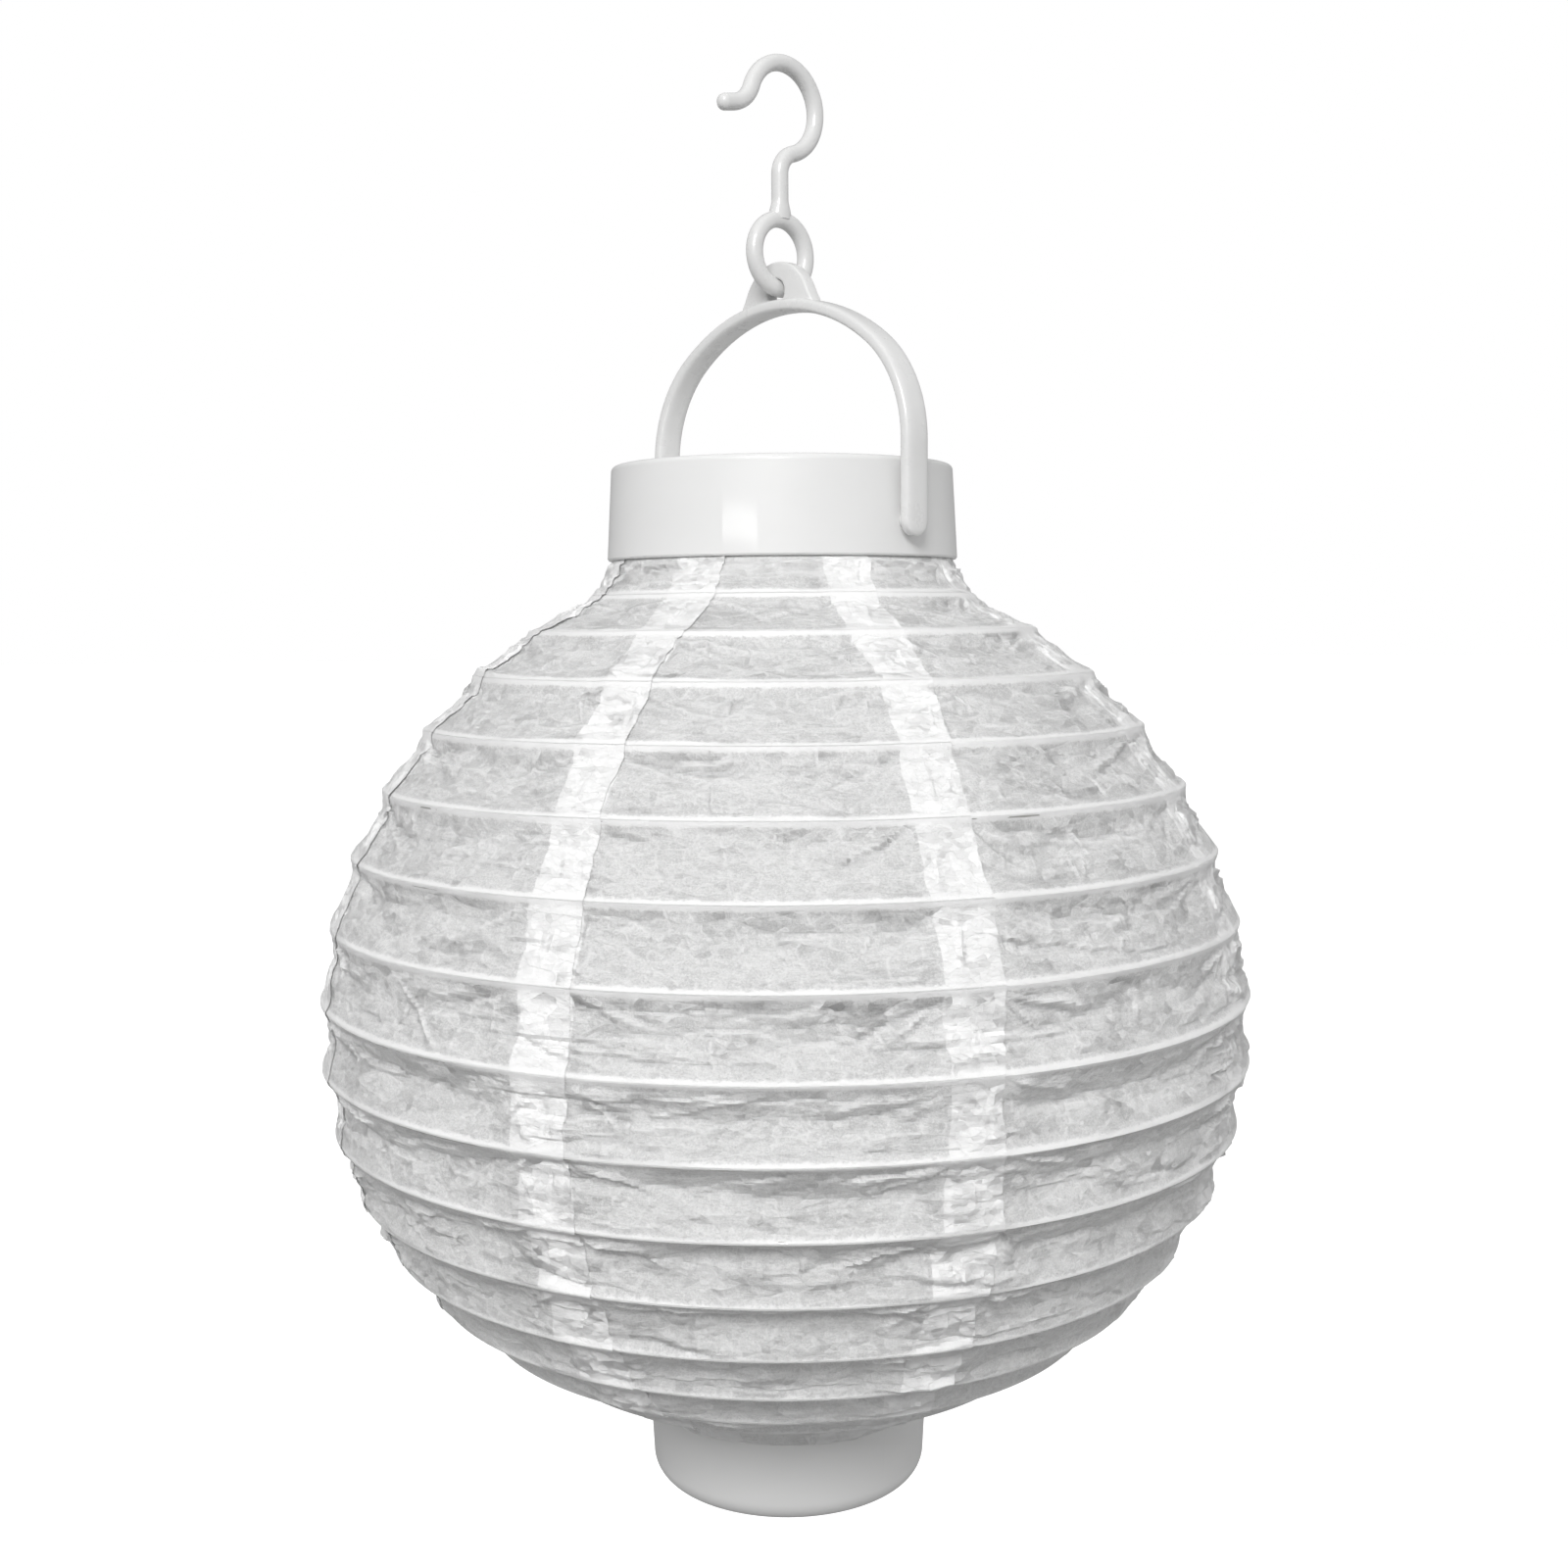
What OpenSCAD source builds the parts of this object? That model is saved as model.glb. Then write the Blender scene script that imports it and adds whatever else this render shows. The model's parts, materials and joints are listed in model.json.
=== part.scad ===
// Accordion paper lantern with a battery cap, a swinging handle and a hanging hook.
// Origin: the seat under the crown of the hook. +Z is up. The handle pivots along X.
// All sizes are in millimetres.

/* [Hanging hook] */
// Diameter of the hook wire
hook_wire_d = 3.5; // [3:0.1:3.6]
// Radius of the crown bend, to the wire's centre
hook_crown_r = 9.5; // [9:0.25:10.5]
// Length of the turned-out tip
hook_tip_l = 2.4; // [2:0.1:3.6]
// Radius of the eye ring, to the wire's centre
eye_r = 7.4; // [7.3:0.1:8]

/* [Handle] */
// Width of the strap, front to back
strap_w = 6.4; // [5.6:0.1:6.6]
// Thickness of the strap
strap_t = 2.8; // [2.2:0.1:2.9]
// Radius of the round eyelet plate on top of the handle
eyelet_r = 10.5; // [10:0.1:11]
// Thickness of the eyelet plate
eyelet_t = 3.2; // [2.6:0.1:3.2]
// Radius of the pivot pegs
peg_r = 2; // [1.6:0.1:2.2]

/* [Cap] */
// Radius of the cap at its top edge
cap_top_r = 37.2; // [37:0.1:37.5]
// Radius of the cap at its lower rim
cap_rim_r = 38.2; // [38:0.1:38.4]
// Height of the cap
cap_h = 20.3; // [20.3:0.1:21]
// Wall thickness of the cap
cap_wall = 1.8; // [1.6:0.1:1.8]

/* [Shade] */
// Diameter of the open globe
globe_d = 203.2; // [200:0.2:206]
// Angle between neighbouring wire rings, seen from the globe's centre
ring_step = 8.75; // [8.6:0.05:8.8]
// Diameter of the ring wire
ring_wire_d = 1; // [0.8:0.1:1.1]
// Thickness of the paper skin
paper_t = 0.25; // [0.2:0.05:0.3]
// Share of its height that the first hanging band has lost
slack_start = 0.08; // [0.06:0.01:0.1]
// Extra share that the lowest band has lost
slack_end = 0.17; // [0.15:0.01:0.19]
// Direction of the first paper seam, from +X
seam_angle = -25.7; // [-45:0.1:0]

/* [Bottom cup] */
// Outer radius of the cup at its mouth
cup_r = 31.4; // [31:0.1:31.6]
// Depth of the cup
cup_h = 20; // [19:0.5:21]
// Wall thickness of the cup
cup_wall = 1.6; // [1.4:0.1:1.6]

/* [Battery compartment] */
// Diameter of one cell
cell_d = 14.5; // [14:0.1:14.5]
// Thickness of the battery door
door_t = 1.75; // [1.6:0.05:1.75]
// Travel of the switch knob
knob_travel = 4; // [3:0.1:4]

/* [Hidden] */
white = "white";
paper_white = "whitesmoke";
smooth = 96;
round_fn = 48;

// Heights, all measured down from the hook seat.
crown_z = hook_wire_d / 2;
crown_cy = 1;
crown_cz = crown_z - hook_crown_r;
eye_z = -38.6;
eye_bottom_z = eye_z - eye_r;
strap_top_z = -48.4;
pivot_z = -97.3;
cap_top_z = -84.1;
cap_bottom_z = cap_top_z - cap_h;
leg_x = 41.5;
deck_t = 1.8;
deck_z = cap_top_z - deck_t;

// The globe: rings at equal angles, symmetric about the equator.
ring_n = 16;
globe_r = globe_d / 2;
paper_gap = 0.15;
first_ring_z = cap_bottom_z - 7.3;
function lat(k) = ((ring_n - 1) / 2 - k) * ring_step;
function ring_r(k) = globe_r * cos(lat(k));
// The upper bands hang tight. The lower ones carry less weight and lie looser.
function kept(k) = k < 7 ? 1 : 1 - slack_start - slack_end * pow((k - 7) / 7, 2);
function drop(k) = globe_r * (sin(lat(k)) - sin(lat(k + 1))) * kept(k);
function ring_z(k) = k == 0 ? first_ring_z : ring_z(k - 1) - drop(k - 1);
shade_end_z = ring_z(ring_n - 1) - 6.4;
shade_end_r = cup_r + 0.85;
shade_top_r = cap_rim_r - 0.9;
cup_top_z = shade_end_z + 0.8;
cup_bottom_z = cup_top_z - cup_h;

// Width of one paper band between two rings, and the depth of its fold.
band_w = 2 * globe_r * sin(ring_step / 2);
function fold_depth(k) = let (dr = ring_r(k + 1) - ring_r(k), dz = ring_z(k + 1) - ring_z(k),
    c = sqrt(dr * dr + dz * dz)) 0.2 + 0.7 * sqrt(max(0, (band_w * band_w - c * c) / 4));
// Outer line of the paper, from the cap down to the cup.
function fold_point(k) = let (r0 = ring_r(k), r1 = ring_r(k + 1), z0 = ring_z(k), z1 = ring_z(k + 1),
    dr = r1 - r0, dz = z1 - z0, c = sqrt(dr * dr + dz * dz), d = fold_depth(k))
    [r0 + 0.42 * dr + d * dz / c, z0 + 0.42 * dz - d * dr / c];
skin = concat([[shade_top_r, cap_bottom_z - 0.3]],
    [for (k = [0:ring_n - 1]) for (j = [0:1]) if (j == 0 || k < ring_n - 1)
        j == 0 ? [ring_r(k), ring_z(k)] : fold_point(k)],
    [[shade_end_r, shade_end_z]]);
function unit(v) = v / norm(v);
function side(a, b) = let (d = unit(b - a)) [-d[1], d[0]];
function corner_in(i, t) = let (
    n1 = i == 0 ? side(skin[0], skin[1]) : side(skin[i - 1], skin[i]),
    n2 = i == len(skin) - 1 ? n1 : side(skin[i], skin[i + 1]),
    m = unit(n1 + n2)) skin[i] - m * t / max(0.5, m * n1);
skin_last = len(skin) - 1;

// A wire bend in the drawing plane, from angle a0 to a1 about a centre.
module wire_bend(cx, cy, r, a0, a1, w) {
    translate([cx, cy, 0]) rotate([0, 0, a0])
        rotate_extrude(angle = a1 - a0, $fn = smooth) translate([r, 0]) circle(r = w, $fn = round_fn);
}
// A straight wire in the drawing plane.
module wire_run(x0, y0, x1, y1, w) {
    translate([x0, y0, 0]) rotate([0, 0, atan2(y1 - y0, x1 - x0)]) rotate([0, 90, 0])
        cylinder(h = sqrt(pow(x1 - x0, 2) + pow(y1 - y0, 2)), r = w, $fn = round_fn);
}
// A rectangle with round corners, built from true arcs.
module round_rect(w, h, r) {
    square([w - 2 * r, h], center = true);
    square([w, h - 2 * r], center = true);
    for (x = [-1, 1]) for (y = [-1, 1])
        translate([x * (w / 2 - r), y * (h / 2 - r)]) circle(r = r, $fn = round_fn);
}
// A tube swept along a list of points, with flat ends.
function tangent(p, i) = unit(p[min(i + 1, len(p) - 1)] - p[max(i - 1, 0)]);
function across(t) = unit(cross(t, abs(t[2]) > 0.8 ? [1, 0.3, 0] : [0.1, 0.2, 1]));
module sweep(p, r, n) {
    m = len(p);
    pts = [for (i = [0:m - 1]) let (t = tangent(p, i), u = across(t), v = cross(t, u))
        for (j = [0:n - 1]) p[i] + r * (cos(360 * j / n) * u + sin(360 * j / n) * v)];
    sides = [for (i = [0:m - 2]) for (j = [0:n - 1]) let (a = i * n + j, b = i * n + (j + 1) % n)
        for (f = [[a, a + n, b + n], [a, b + n, b]]) f];
    ends = [[for (j = [0:n - 1]) j], [for (j = [n - 1:-1:0]) (m - 1) * n + j]];
    polyhedron(points = pts, faces = concat(sides, ends), convexity = 6);
}
// Rounded route through hand-set corner points.
function curve(p, steps) = [for (i = [0:len(p) - 2]) for (s = [0:steps - 1]) let (
    a = p[max(i - 1, 0)], b = p[i], c = p[i + 1], d = p[min(i + 2, len(p) - 1)], t = s / steps)
    0.5 * (2 * b + (c - a) * t + (2 * a - 5 * b + 4 * c - d) * t * t + (3 * b - a - 3 * c + d) * t * t * t)];

// Hook: crown, turned-out tip, S-bend, stem and closed eye, all one moulded wire in the YZ plane.
tip_a = 160;
tip_r = 6.5;
tip_drop = 10;
neck_r = 5;
neck_a = -acos((neck_r - crown_cy) / (hook_crown_r + neck_r));
module hanging_hook() {
    w = hook_wire_d / 2;
    g = 0.15;
    tip_cy = crown_cy + (hook_crown_r + tip_r) * cos(tip_a);
    tip_cz = crown_cz + (hook_crown_r + tip_r) * sin(tip_a);
    tip_ey = tip_cy + tip_r * cos(270 + tip_drop);
    tip_ez = tip_cz + tip_r * sin(270 + tip_drop);
    end_y = tip_ey - hook_tip_l * cos(tip_drop);
    end_z = tip_ez - hook_tip_l * sin(tip_drop);
    neck_cz = crown_cz + (hook_crown_r + neck_r) * sin(neck_a);
    gc = g / hook_crown_r * 57.3;
    gt = g / tip_r * 57.3;
    gn = g / neck_r * 57.3;
    color(white) rotate([90, 0, 90]) union() {
        wire_bend(crown_cy, crown_cz, hook_crown_r, neck_a + gc, tip_a - gc, w);
        wire_bend(tip_cy, tip_cz, tip_r, 270 + tip_drop + gt, tip_a + 180 - gt, w);
        wire_run(tip_ey - g * cos(tip_drop), tip_ez - g * sin(tip_drop), end_y, end_z, w);
        wire_bend(neck_r, neck_cz, neck_r, 180 + neck_a + gn, 180 - gn, w);
        wire_run(0, neck_cz - g, 0, eye_z + eye_r, w);
        wire_bend(0, eye_z, eye_r, 0, 360, w);
        translate([end_y, end_z, 0]) sphere(r = w + 0.02, $fn = round_fn);
        sleeve(tip_ey, tip_ez, tip_drop);
        sleeve(crown_cy + hook_crown_r * cos(tip_a), crown_cz + hook_crown_r * sin(tip_a), tip_a + 90);
        sleeve(crown_cy + hook_crown_r * cos(neck_a), crown_cz + hook_crown_r * sin(neck_a), neck_a + 90);
        sleeve(0, neck_cz, 90);
    }
}
// Short sleeve that joins two lengths of wire, pointing along the angle a.
module sleeve(x, y, a) {
    translate([x, y, 0]) rotate([0, 0, a]) rotate([0, 90, 0]) translate([0, 0, -0.25])
        cylinder(h = 0.5, r = hook_wire_d / 2 + 0.02, $fn = round_fn);
}

// Handle: a flat strap bent into a three-centred arch, with an eyelet plate and two pivot pegs.
side_r = 28;
side_cx = leg_x - side_r;
side_cz = -80.826;
top_r = 50.8;
top_cz = strap_top_z - top_r;
side_a = atan2(side_cz - top_cz, side_cx);
eyelet_cz = strap_top_z - 2.4;
eyelet_hole_r = 2.7;
eyelet_hole_z = eye_z - sqrt(pow(eye_r - hook_wire_d / 2, 2) - pow(eyelet_t / 2, 2)) + 0.06 - eyelet_hole_r;
module strap_section() { round_rect(strap_t, strap_w, 0.7); }
// Short splice that joins two lengths of strap, turned to the angle a.
module splice(x, z, a) {
    translate([x, 0, z]) rotate([0, -a, 0]) translate([0, 0, -0.25]) linear_extrude(height = 0.5)
        round_rect(strap_t + 0.04, strap_w + 0.04, 0.72);
}
module carry_handle() {
    g = 0.15;
    gt = g / top_r * 57.3;
    gs = g / side_r * 57.3;
    mid_r = side_r - strap_t / 2;
    color(white) difference() {
        union() {
            rotate([90, 0, 0]) {
                translate([0, top_cz, 0]) rotate([0, 0, side_a + gt]) rotate_extrude(angle = 180 - 2 * side_a - 2 * gt, $fn = smooth)
                    translate([top_r - strap_t / 2, 0]) strap_section();
                for (s = [0, 1]) mirror([s, 0, 0]) translate([side_cx, side_cz, 0]) rotate([0, 0, gs])
                    rotate_extrude(angle = side_a - 2 * gs, $fn = smooth) translate([mid_r, 0]) strap_section();
            }
            for (s = [0, 1]) mirror([s, 0, 0]) {
                splice(side_cx + mid_r * cos(side_a), side_cz + mid_r * sin(side_a), side_a);
                splice(leg_x - strap_t / 2, side_cz, 0);
                translate([leg_x - strap_t / 2, 0, pivot_z]) linear_extrude(height = side_cz - pivot_z - g) strap_section();
                translate([leg_x - strap_t, 0, pivot_z]) rotate([0, 90, 0]) cylinder(h = strap_t, r = strap_w / 2 + 0.02, $fn = smooth);
                translate([leg_x - strap_t - 4, 0, pivot_z]) rotate([0, 90, 0]) cylinder(h = 5, r = peg_r, $fn = round_fn);
            }
            intersection() {
                translate([0, eyelet_t / 2, eyelet_cz]) rotate([90, 0, 0]) cylinder(h = eyelet_t, r = eyelet_r, $fn = smooth);
                translate([-20, -5, strap_top_z - 1.2]) cube([40, 10, 20]);
            }
        }
        translate([0, 5, eyelet_hole_z]) rotate([90, 0, 0]) cylinder(h = 10, r = eyelet_hole_r, $fn = round_fn);
    }
}

// Layout inside the cap, with heights above the cap's lower rim.
tray_x = 16.4;
tray_y = 29.7;
tray_wall = 1.2;
open_x = tray_x - 0.6;
open_y = tray_y - 0.6;
tray_base = 2.6;
cell_x = 7.6;
cell_z = 3.6 + cell_d / 2;
boss_x = 26;
boss_y = 16.5;
door_screw_y = 32.2;
switch_x = 25.5;
module in_cap() { translate([0, 0, cap_bottom_z]) children(); }

// Cap: round shell with a flat deck, a battery opening, a switch slot and screw bosses.
module cap_shell() {
    deck_b = cap_h - deck_t;
    color(white) in_cap() difference() {
        union() {
            rotate_extrude($fn = smooth) difference() {
                union() {
                    polygon([[0, 0], [cap_rim_r - 0.3, 0], [cap_rim_r, 0.4], [cap_top_r, cap_h - 1.2], [0, cap_h - 1.2]]);
                    translate([cap_top_r - 1.2, cap_h - 1.2]) circle(r = 1.2, $fn = round_fn);
                    translate([0, cap_h - 1.3]) square([cap_top_r - 1.2, 1.3]);
                }
                polygon([[0, -1], [cap_rim_r - cap_wall + 0.05, -1], [cap_top_r - cap_wall, deck_b], [0, deck_b]]);
                translate([-5, -5]) square([5, 40]);
            }
            for (x = [-1, 1]) for (y = [-1, 1])
                translate([x * boss_x, y * boss_y, 1.2]) cylinder(h = cap_h - 1.2 - 1, r = 2.6, $fn = round_fn);
            translate([0, door_screw_y, 3]) cylinder(h = deck_b - 3, r = 2.3, $fn = round_fn);
            translate([-1, door_screw_y + 1.4, 3]) cube([2, 2.4, deck_b - 3]);
        }
        translate([0, 0, deck_b - 1]) linear_extrude(height = 5) round_rect(2 * open_x, 2 * open_y, 1.6);
        translate([0, open_y + 2.5, deck_b]) linear_extrude(height = 5) round_rect(7.7, 7, 1.2);
        translate([switch_x, 0, deck_b - 1]) linear_extrude(height = 5) round_rect(4, 2 * knob_travel + 0.4, 0.4);
        for (x = [-1, 1]) for (y = [-1, 1])
            translate([x * boss_x, y * boss_y, 0]) cylinder(h = 9, r = 0.95, $fn = round_fn);
        translate([0, door_screw_y, deck_b - 9]) cylinder(h = 10, r = 1.2, $fn = round_fn);
        translate([-60, 0, pivot_z - cap_bottom_z]) rotate([0, 90, 0]) cylinder(h = 120, r = peg_r + 0.05, $fn = round_fn);
    }
}

// Battery tray: open box with a rib between the two cells.
module battery_tray() {
    top = cap_h - deck_t;
    color("gainsboro") in_cap() difference() {
        translate([-tray_x, -tray_y, tray_base]) cube([2 * tray_x, 2 * tray_y, top - tray_base]);
        translate([-tray_x + tray_wall, -tray_y + tray_wall, tray_base + 1])
            cube([2 * (tray_x - tray_wall), 2 * (tray_y - tray_wall), 30]);
        for (y = [-22, 22]) translate([0, y, tray_base - 1]) cylinder(h = 5, r = 1.5, $fn = round_fn);
    }
}

// One cell: steel can with a raised positive cap.
module cell() {
    translate([-cell_x, 0, cell_z]) rotate([90, 0, 0]) {
        translate([0, 0, -23.3]) cylinder(h = 49.5, r = cell_d / 2, $fn = smooth);
        translate([0, 0, 26.1]) cylinder(h = 1.1, r = 2.75, $fn = round_fn);
    }
}
module battery_cell_left() { color("dimgray") in_cap() cell(); }
module battery_cell_right() { color("dimgray") in_cap() rotate([0, 0, 180]) cell(); }

// Cone springs behind the flat ends of the cells.
spring_turns = 3;
module cone_spring() {
    p = [for (i = [0:spring_turns * 14]) let (u = i / (spring_turns * 14), a = i * 360 / 14, r = 5.3 - 2.1 * u)
        [-cell_x + r * cos(a), 27.7 - 3.95 * u, cell_z + r * sin(a)]];
    sweep(p, 0.35, 8);
}
module contact_springs() {
    color("silver") in_cap() { cone_spring(); rotate([0, 0, 180]) cone_spring(); }
}
// A thin plate with a round bump that meets the positive cap.
module contact_blank(w) {
    translate([-w / 2, -28.45, tray_base + 2]) cube([w, 0.3, 13]);
}
module bump() {
    translate([-cell_x, -27.25, cell_z]) rotate([90, 0, 0]) cylinder(h = 1, r = 2, $fn = round_fn);
}
module contact_bridge() {
    color("silver") in_cap() rotate([0, 0, 180]) union() { contact_blank(27); bump(); }
}
module contact_plates() {
    color("silver") in_cap() {
        union() { translate([-7.2, 0, 0]) contact_blank(12.5); bump(); }
        translate([7.2, 0, 0]) contact_blank(12.5);
    }
}

// Slide switch: housing under the deck and the knob that shows above it.
module switch_body() {
    top = cap_h - deck_t;
    color("black") in_cap() union() {
        translate([switch_x - 4.5, -7.5, top - 6.6]) cube([9, 15, 6.5]);
        for (y = [-4, 0, 4]) translate([switch_x - 0.4, y - 0.9, top - 9.4]) cube([0.8, 1.8, 3]);
    }
}
module switch_knob() {
    top = cap_h - deck_t;
    color(white) in_cap() translate([switch_x, -knob_travel / 2, 0]) difference() {
        translate([-1.9, -2.1, top + 0.05]) cube([3.8, 4.2, 2.1]);
        for (y = [-1.2, 0, 1.2]) translate([-3, y - 0.25, top + 1.75]) cube([6, 0.5, 2]);
    }
}

// Battery door: drop-in plate with a tongue for its screw.
module battery_door() {
    z0 = cap_h - door_t;
    color(white) in_cap() difference() {
        union() {
            translate([0, 0, z0]) linear_extrude(height = door_t) round_rect(2 * open_x - 0.5, 2 * open_y - 0.5, 1.4);
            translate([0, open_y + 2.3, z0]) linear_extrude(height = door_t) round_rect(7.2, 6.8, 1);
        }
        translate([0, door_screw_y, z0 - 1]) cylinder(h = 5, r = 1.3, $fn = round_fn);
        translate([0, door_screw_y, cap_h - 1]) cylinder(h = 2, r = 2.3, $fn = round_fn);
        for (y = [-24, -22, -20]) translate([-7, y - 0.4, cap_h - 0.5]) cube([14, 0.8, 1]);
    }
}
// Cross-head screw pointing down, with its head top at zero.
module cross_screw(head_r, head_h, shank_r, shank_l) {
    difference() {
        union() {
            translate([0, 0, -head_h]) cylinder(h = head_h, r = head_r, $fn = round_fn);
            translate([0, 0, -head_h - shank_l]) cylinder(h = shank_l + 0.1, r = shank_r, $fn = round_fn);
        }
        for (a = [0, 90]) rotate([0, 0, a]) translate([-head_r * 0.6, -0.25, -0.6]) cube([head_r * 1.2, 0.5, 2]);
    }
}
module door_screw() {
    color("silver") in_cap() translate([0, door_screw_y, cap_h - 0.1]) cross_screw(2.2, 0.9, 1.15, 8);
}

// Under cover with the lamp hole, held by four screws.
module under_cover() {
    color(white) in_cap() difference() {
        cylinder(h = 1.2, r = 34.15, $fn = smooth);
        translate([0, 0, -1]) cylinder(h = 4, r = 7.9, $fn = round_fn);
        for (x = [-1, 1]) for (y = [-1, 1])
            translate([x * boss_x, y * boss_y, -1]) cylinder(h = 4, r = 1.1, $fn = round_fn);
    }
}
module cover_screws() {
    color("silver") in_cap() for (x = [-1, 1]) for (y = [-1, 1])
        translate([x * boss_x, y * boss_y, -1]) mirror([0, 0, 1]) cross_screw(2.3, 1, 0.9, 7);
}

// Lamp holder: a cup that hangs under the cover and keeps the board and both lamps.
module led_holder() {
    color(white) in_cap() difference() {
        union() {
            translate([0, 0, -9]) cylinder(h = 10.2, r = 7.8, $fn = smooth);
            translate([0, 0, -1.2]) cylinder(h = 1.2, r = 11, $fn = smooth);
        }
        translate([0, 0, -7.8]) cylinder(h = 20, r = 6.8, $fn = smooth);
        for (x = [-3.2, 3.2]) translate([x, 0, -12]) cylinder(h = 8, r = 2.55, $fn = round_fn);
    }
}
module led_board() {
    color("green") in_cap() translate([0, 0, -1]) cylinder(h = 1.2, r = 6.6, $fn = smooth);
}
module led_lamps() {
    color("lightyellow") in_cap() for (x = [-3.2, 3.2]) translate([x, 0, 0]) union() {
        translate([0, 0, -7.8]) cylinder(h = 1, r = 2.9, $fn = round_fn);
        translate([0, 0, -13.1]) cylinder(h = 5.5, r = 2.5, $fn = round_fn);
        translate([0, 0, -13.1]) sphere(r = 2.5, $fn = round_fn);
        for (y = [-1.27, 1.27]) translate([0, y, -7]) cylinder(h = 6, r = 0.25, $fn = round_fn);
    }
}

// Insulated leads, along hand-set corners.
lead_r = 0.5;
red_route = [[4, 1, 0.45], [4.4, 1.5, 1.3], [6.5, 2.5, 1.9], [12, 3, 1.9], [16.9, 3, 2.1], [18.6, 3, 4.4], [19.6, 3.4, 7.2], [22.5, 4, 8.1], [24.8, 4, 8.5]];
black_route = [[-4, -1, 0.45], [-4.4, -1.5, 1.3], [-6.5, -2.5, 1.9], [-12, -4, 1.9], [-16.9, -6, 2.0], [-18.6, -8, 4.4], [-18.6, -18, 7],
    [-18.4, -24.6, 8.4], [-18.1, -28.6, 8.8], [-16.2, -31.1, 9], [-12.6, -31.4, 9.2], [-9, -31.2, 9.4]];
switch_route = [[25.2, -4, 8.5], [23.4, -5, 7.4], [21, -9, 6.6], [19.4, -15, 7], [18.8, -22, 8],
    [18.1, -28.6, 8.8], [16.2, -31.1, 9.2], [12.4, -31.5, 9.3], [8.6, -31.4, 9.4]];
module lead_wire_red() { color("red") in_cap() sweep(curve(red_route, 4), lead_r, 8); }
module lead_wire_black() { color("black") in_cap() sweep(curve(black_route, 4), lead_r, 8); }
module lead_wire_switch() { color("red") in_cap() sweep(curve(switch_route, 4), lead_r, 8); }

// Collar that clamps the top edge of the paper in the cap.
module shade_collar() {
    color(white) in_cap() difference() {
        union() {
            translate([0, 0, -2.6]) cylinder(h = 5.6, r = 36.15, $fn = smooth);
            translate([0, 0, -2.6]) cylinder(h = 0.8, r = 36.8, $fn = smooth);
        }
        translate([0, 0, -5]) cylinder(h = 12, r = 34.3, $fn = smooth);
    }
}

// One of the eight paper strips that make the globe.
module paper_gore(k) {
    color(paper_white) rotate([0, 0, seam_angle + 45 * (k - 1)]) rotate_extrude(angle = 45, $fn = smooth)
        polygon(concat(skin, [for (i = [skin_last:-1:0]) corner_in(i, paper_t)]));
}
module paper_gore_1() { paper_gore(1); }
module paper_gore_2() { paper_gore(2); }
module paper_gore_3() { paper_gore(3); }
module paper_gore_4() { paper_gore(4); }
module paper_gore_5() { paper_gore(5); }
module paper_gore_6() { paper_gore(6); }
module paper_gore_7() { paper_gore(7); }
module paper_gore_8() { paper_gore(8); }

// One closed wire ring, lying inside the ridge of the paper. The sharper lower ridges hold it a little deeper.
module shade_ring(k) {
    set_in = paper_t + paper_gap + ring_wire_d / 2 + (k < 10 ? 0 : 0.25);
    color("silver") translate([0, 0, ring_z(k) - set_in * sin(lat(k))]) rotate_extrude($fn = smooth)
        translate([ring_r(k) - set_in * cos(lat(k)), 0]) circle(r = ring_wire_d / 2, $fn = round_fn);
}
module shade_ring_01() { shade_ring(0); }
module shade_ring_02() { shade_ring(1); }
module shade_ring_03() { shade_ring(2); }
module shade_ring_04() { shade_ring(3); }
module shade_ring_05() { shade_ring(4); }
module shade_ring_06() { shade_ring(5); }
module shade_ring_07() { shade_ring(6); }
module shade_ring_08() { shade_ring(7); }
module shade_ring_09() { shade_ring(8); }
module shade_ring_10() { shade_ring(9); }
module shade_ring_11() { shade_ring(10); }
module shade_ring_12() { shade_ring(11); }
module shade_ring_13() { shade_ring(12); }
module shade_ring_14() { shade_ring(13); }
module shade_ring_15() { shade_ring(14); }
module shade_ring_16() { shade_ring(15); }

// Bottom cup: slightly tapered, with a round lower edge and a flat foot.
module bottom_cup() {
    er = 5;
    base_r = cup_r - 0.8;
    color(white) translate([0, 0, cup_bottom_z]) rotate_extrude($fn = smooth) difference() {
        union() {
            polygon([[0, er], [base_r, er], [cup_r, cup_h], [0, cup_h]]);
            translate([base_r - er, er]) intersection() { circle(r = er, $fn = round_fn); translate([0, -er]) square([er, er + 0.01]); }
            square([base_r - er, er + 0.01]);
        }
        union() {
            polygon([[-1, er], [base_r - cup_wall, er], [cup_r - cup_wall, cup_h + 0.01], [-1, cup_h + 0.01]]);
            translate([base_r - er, er]) intersection() { circle(r = er - cup_wall, $fn = round_fn); translate([0, -er]) square([er, er + 0.01]); }
            translate([-1, cup_wall]) square([base_r - er + 1, er - cup_wall + 0.01]);
        }
    }
}
// Ring that clamps the lower edge of the paper on the cup's mouth.
module cup_clamp_ring() {
    color(white) translate([0, 0, cup_top_z]) difference() {
        union() {
            translate([0, 0, -6]) cylinder(h = 6.7, r = cup_r - cup_wall - 0.4, $fn = smooth);
            cylinder(h = 0.7, r = cup_r - 0.4, $fn = smooth);
        }
        translate([0, 0, -10]) cylinder(h = 20, r = cup_r - cup_wall - 2.3, $fn = smooth);
    }
}

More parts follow.
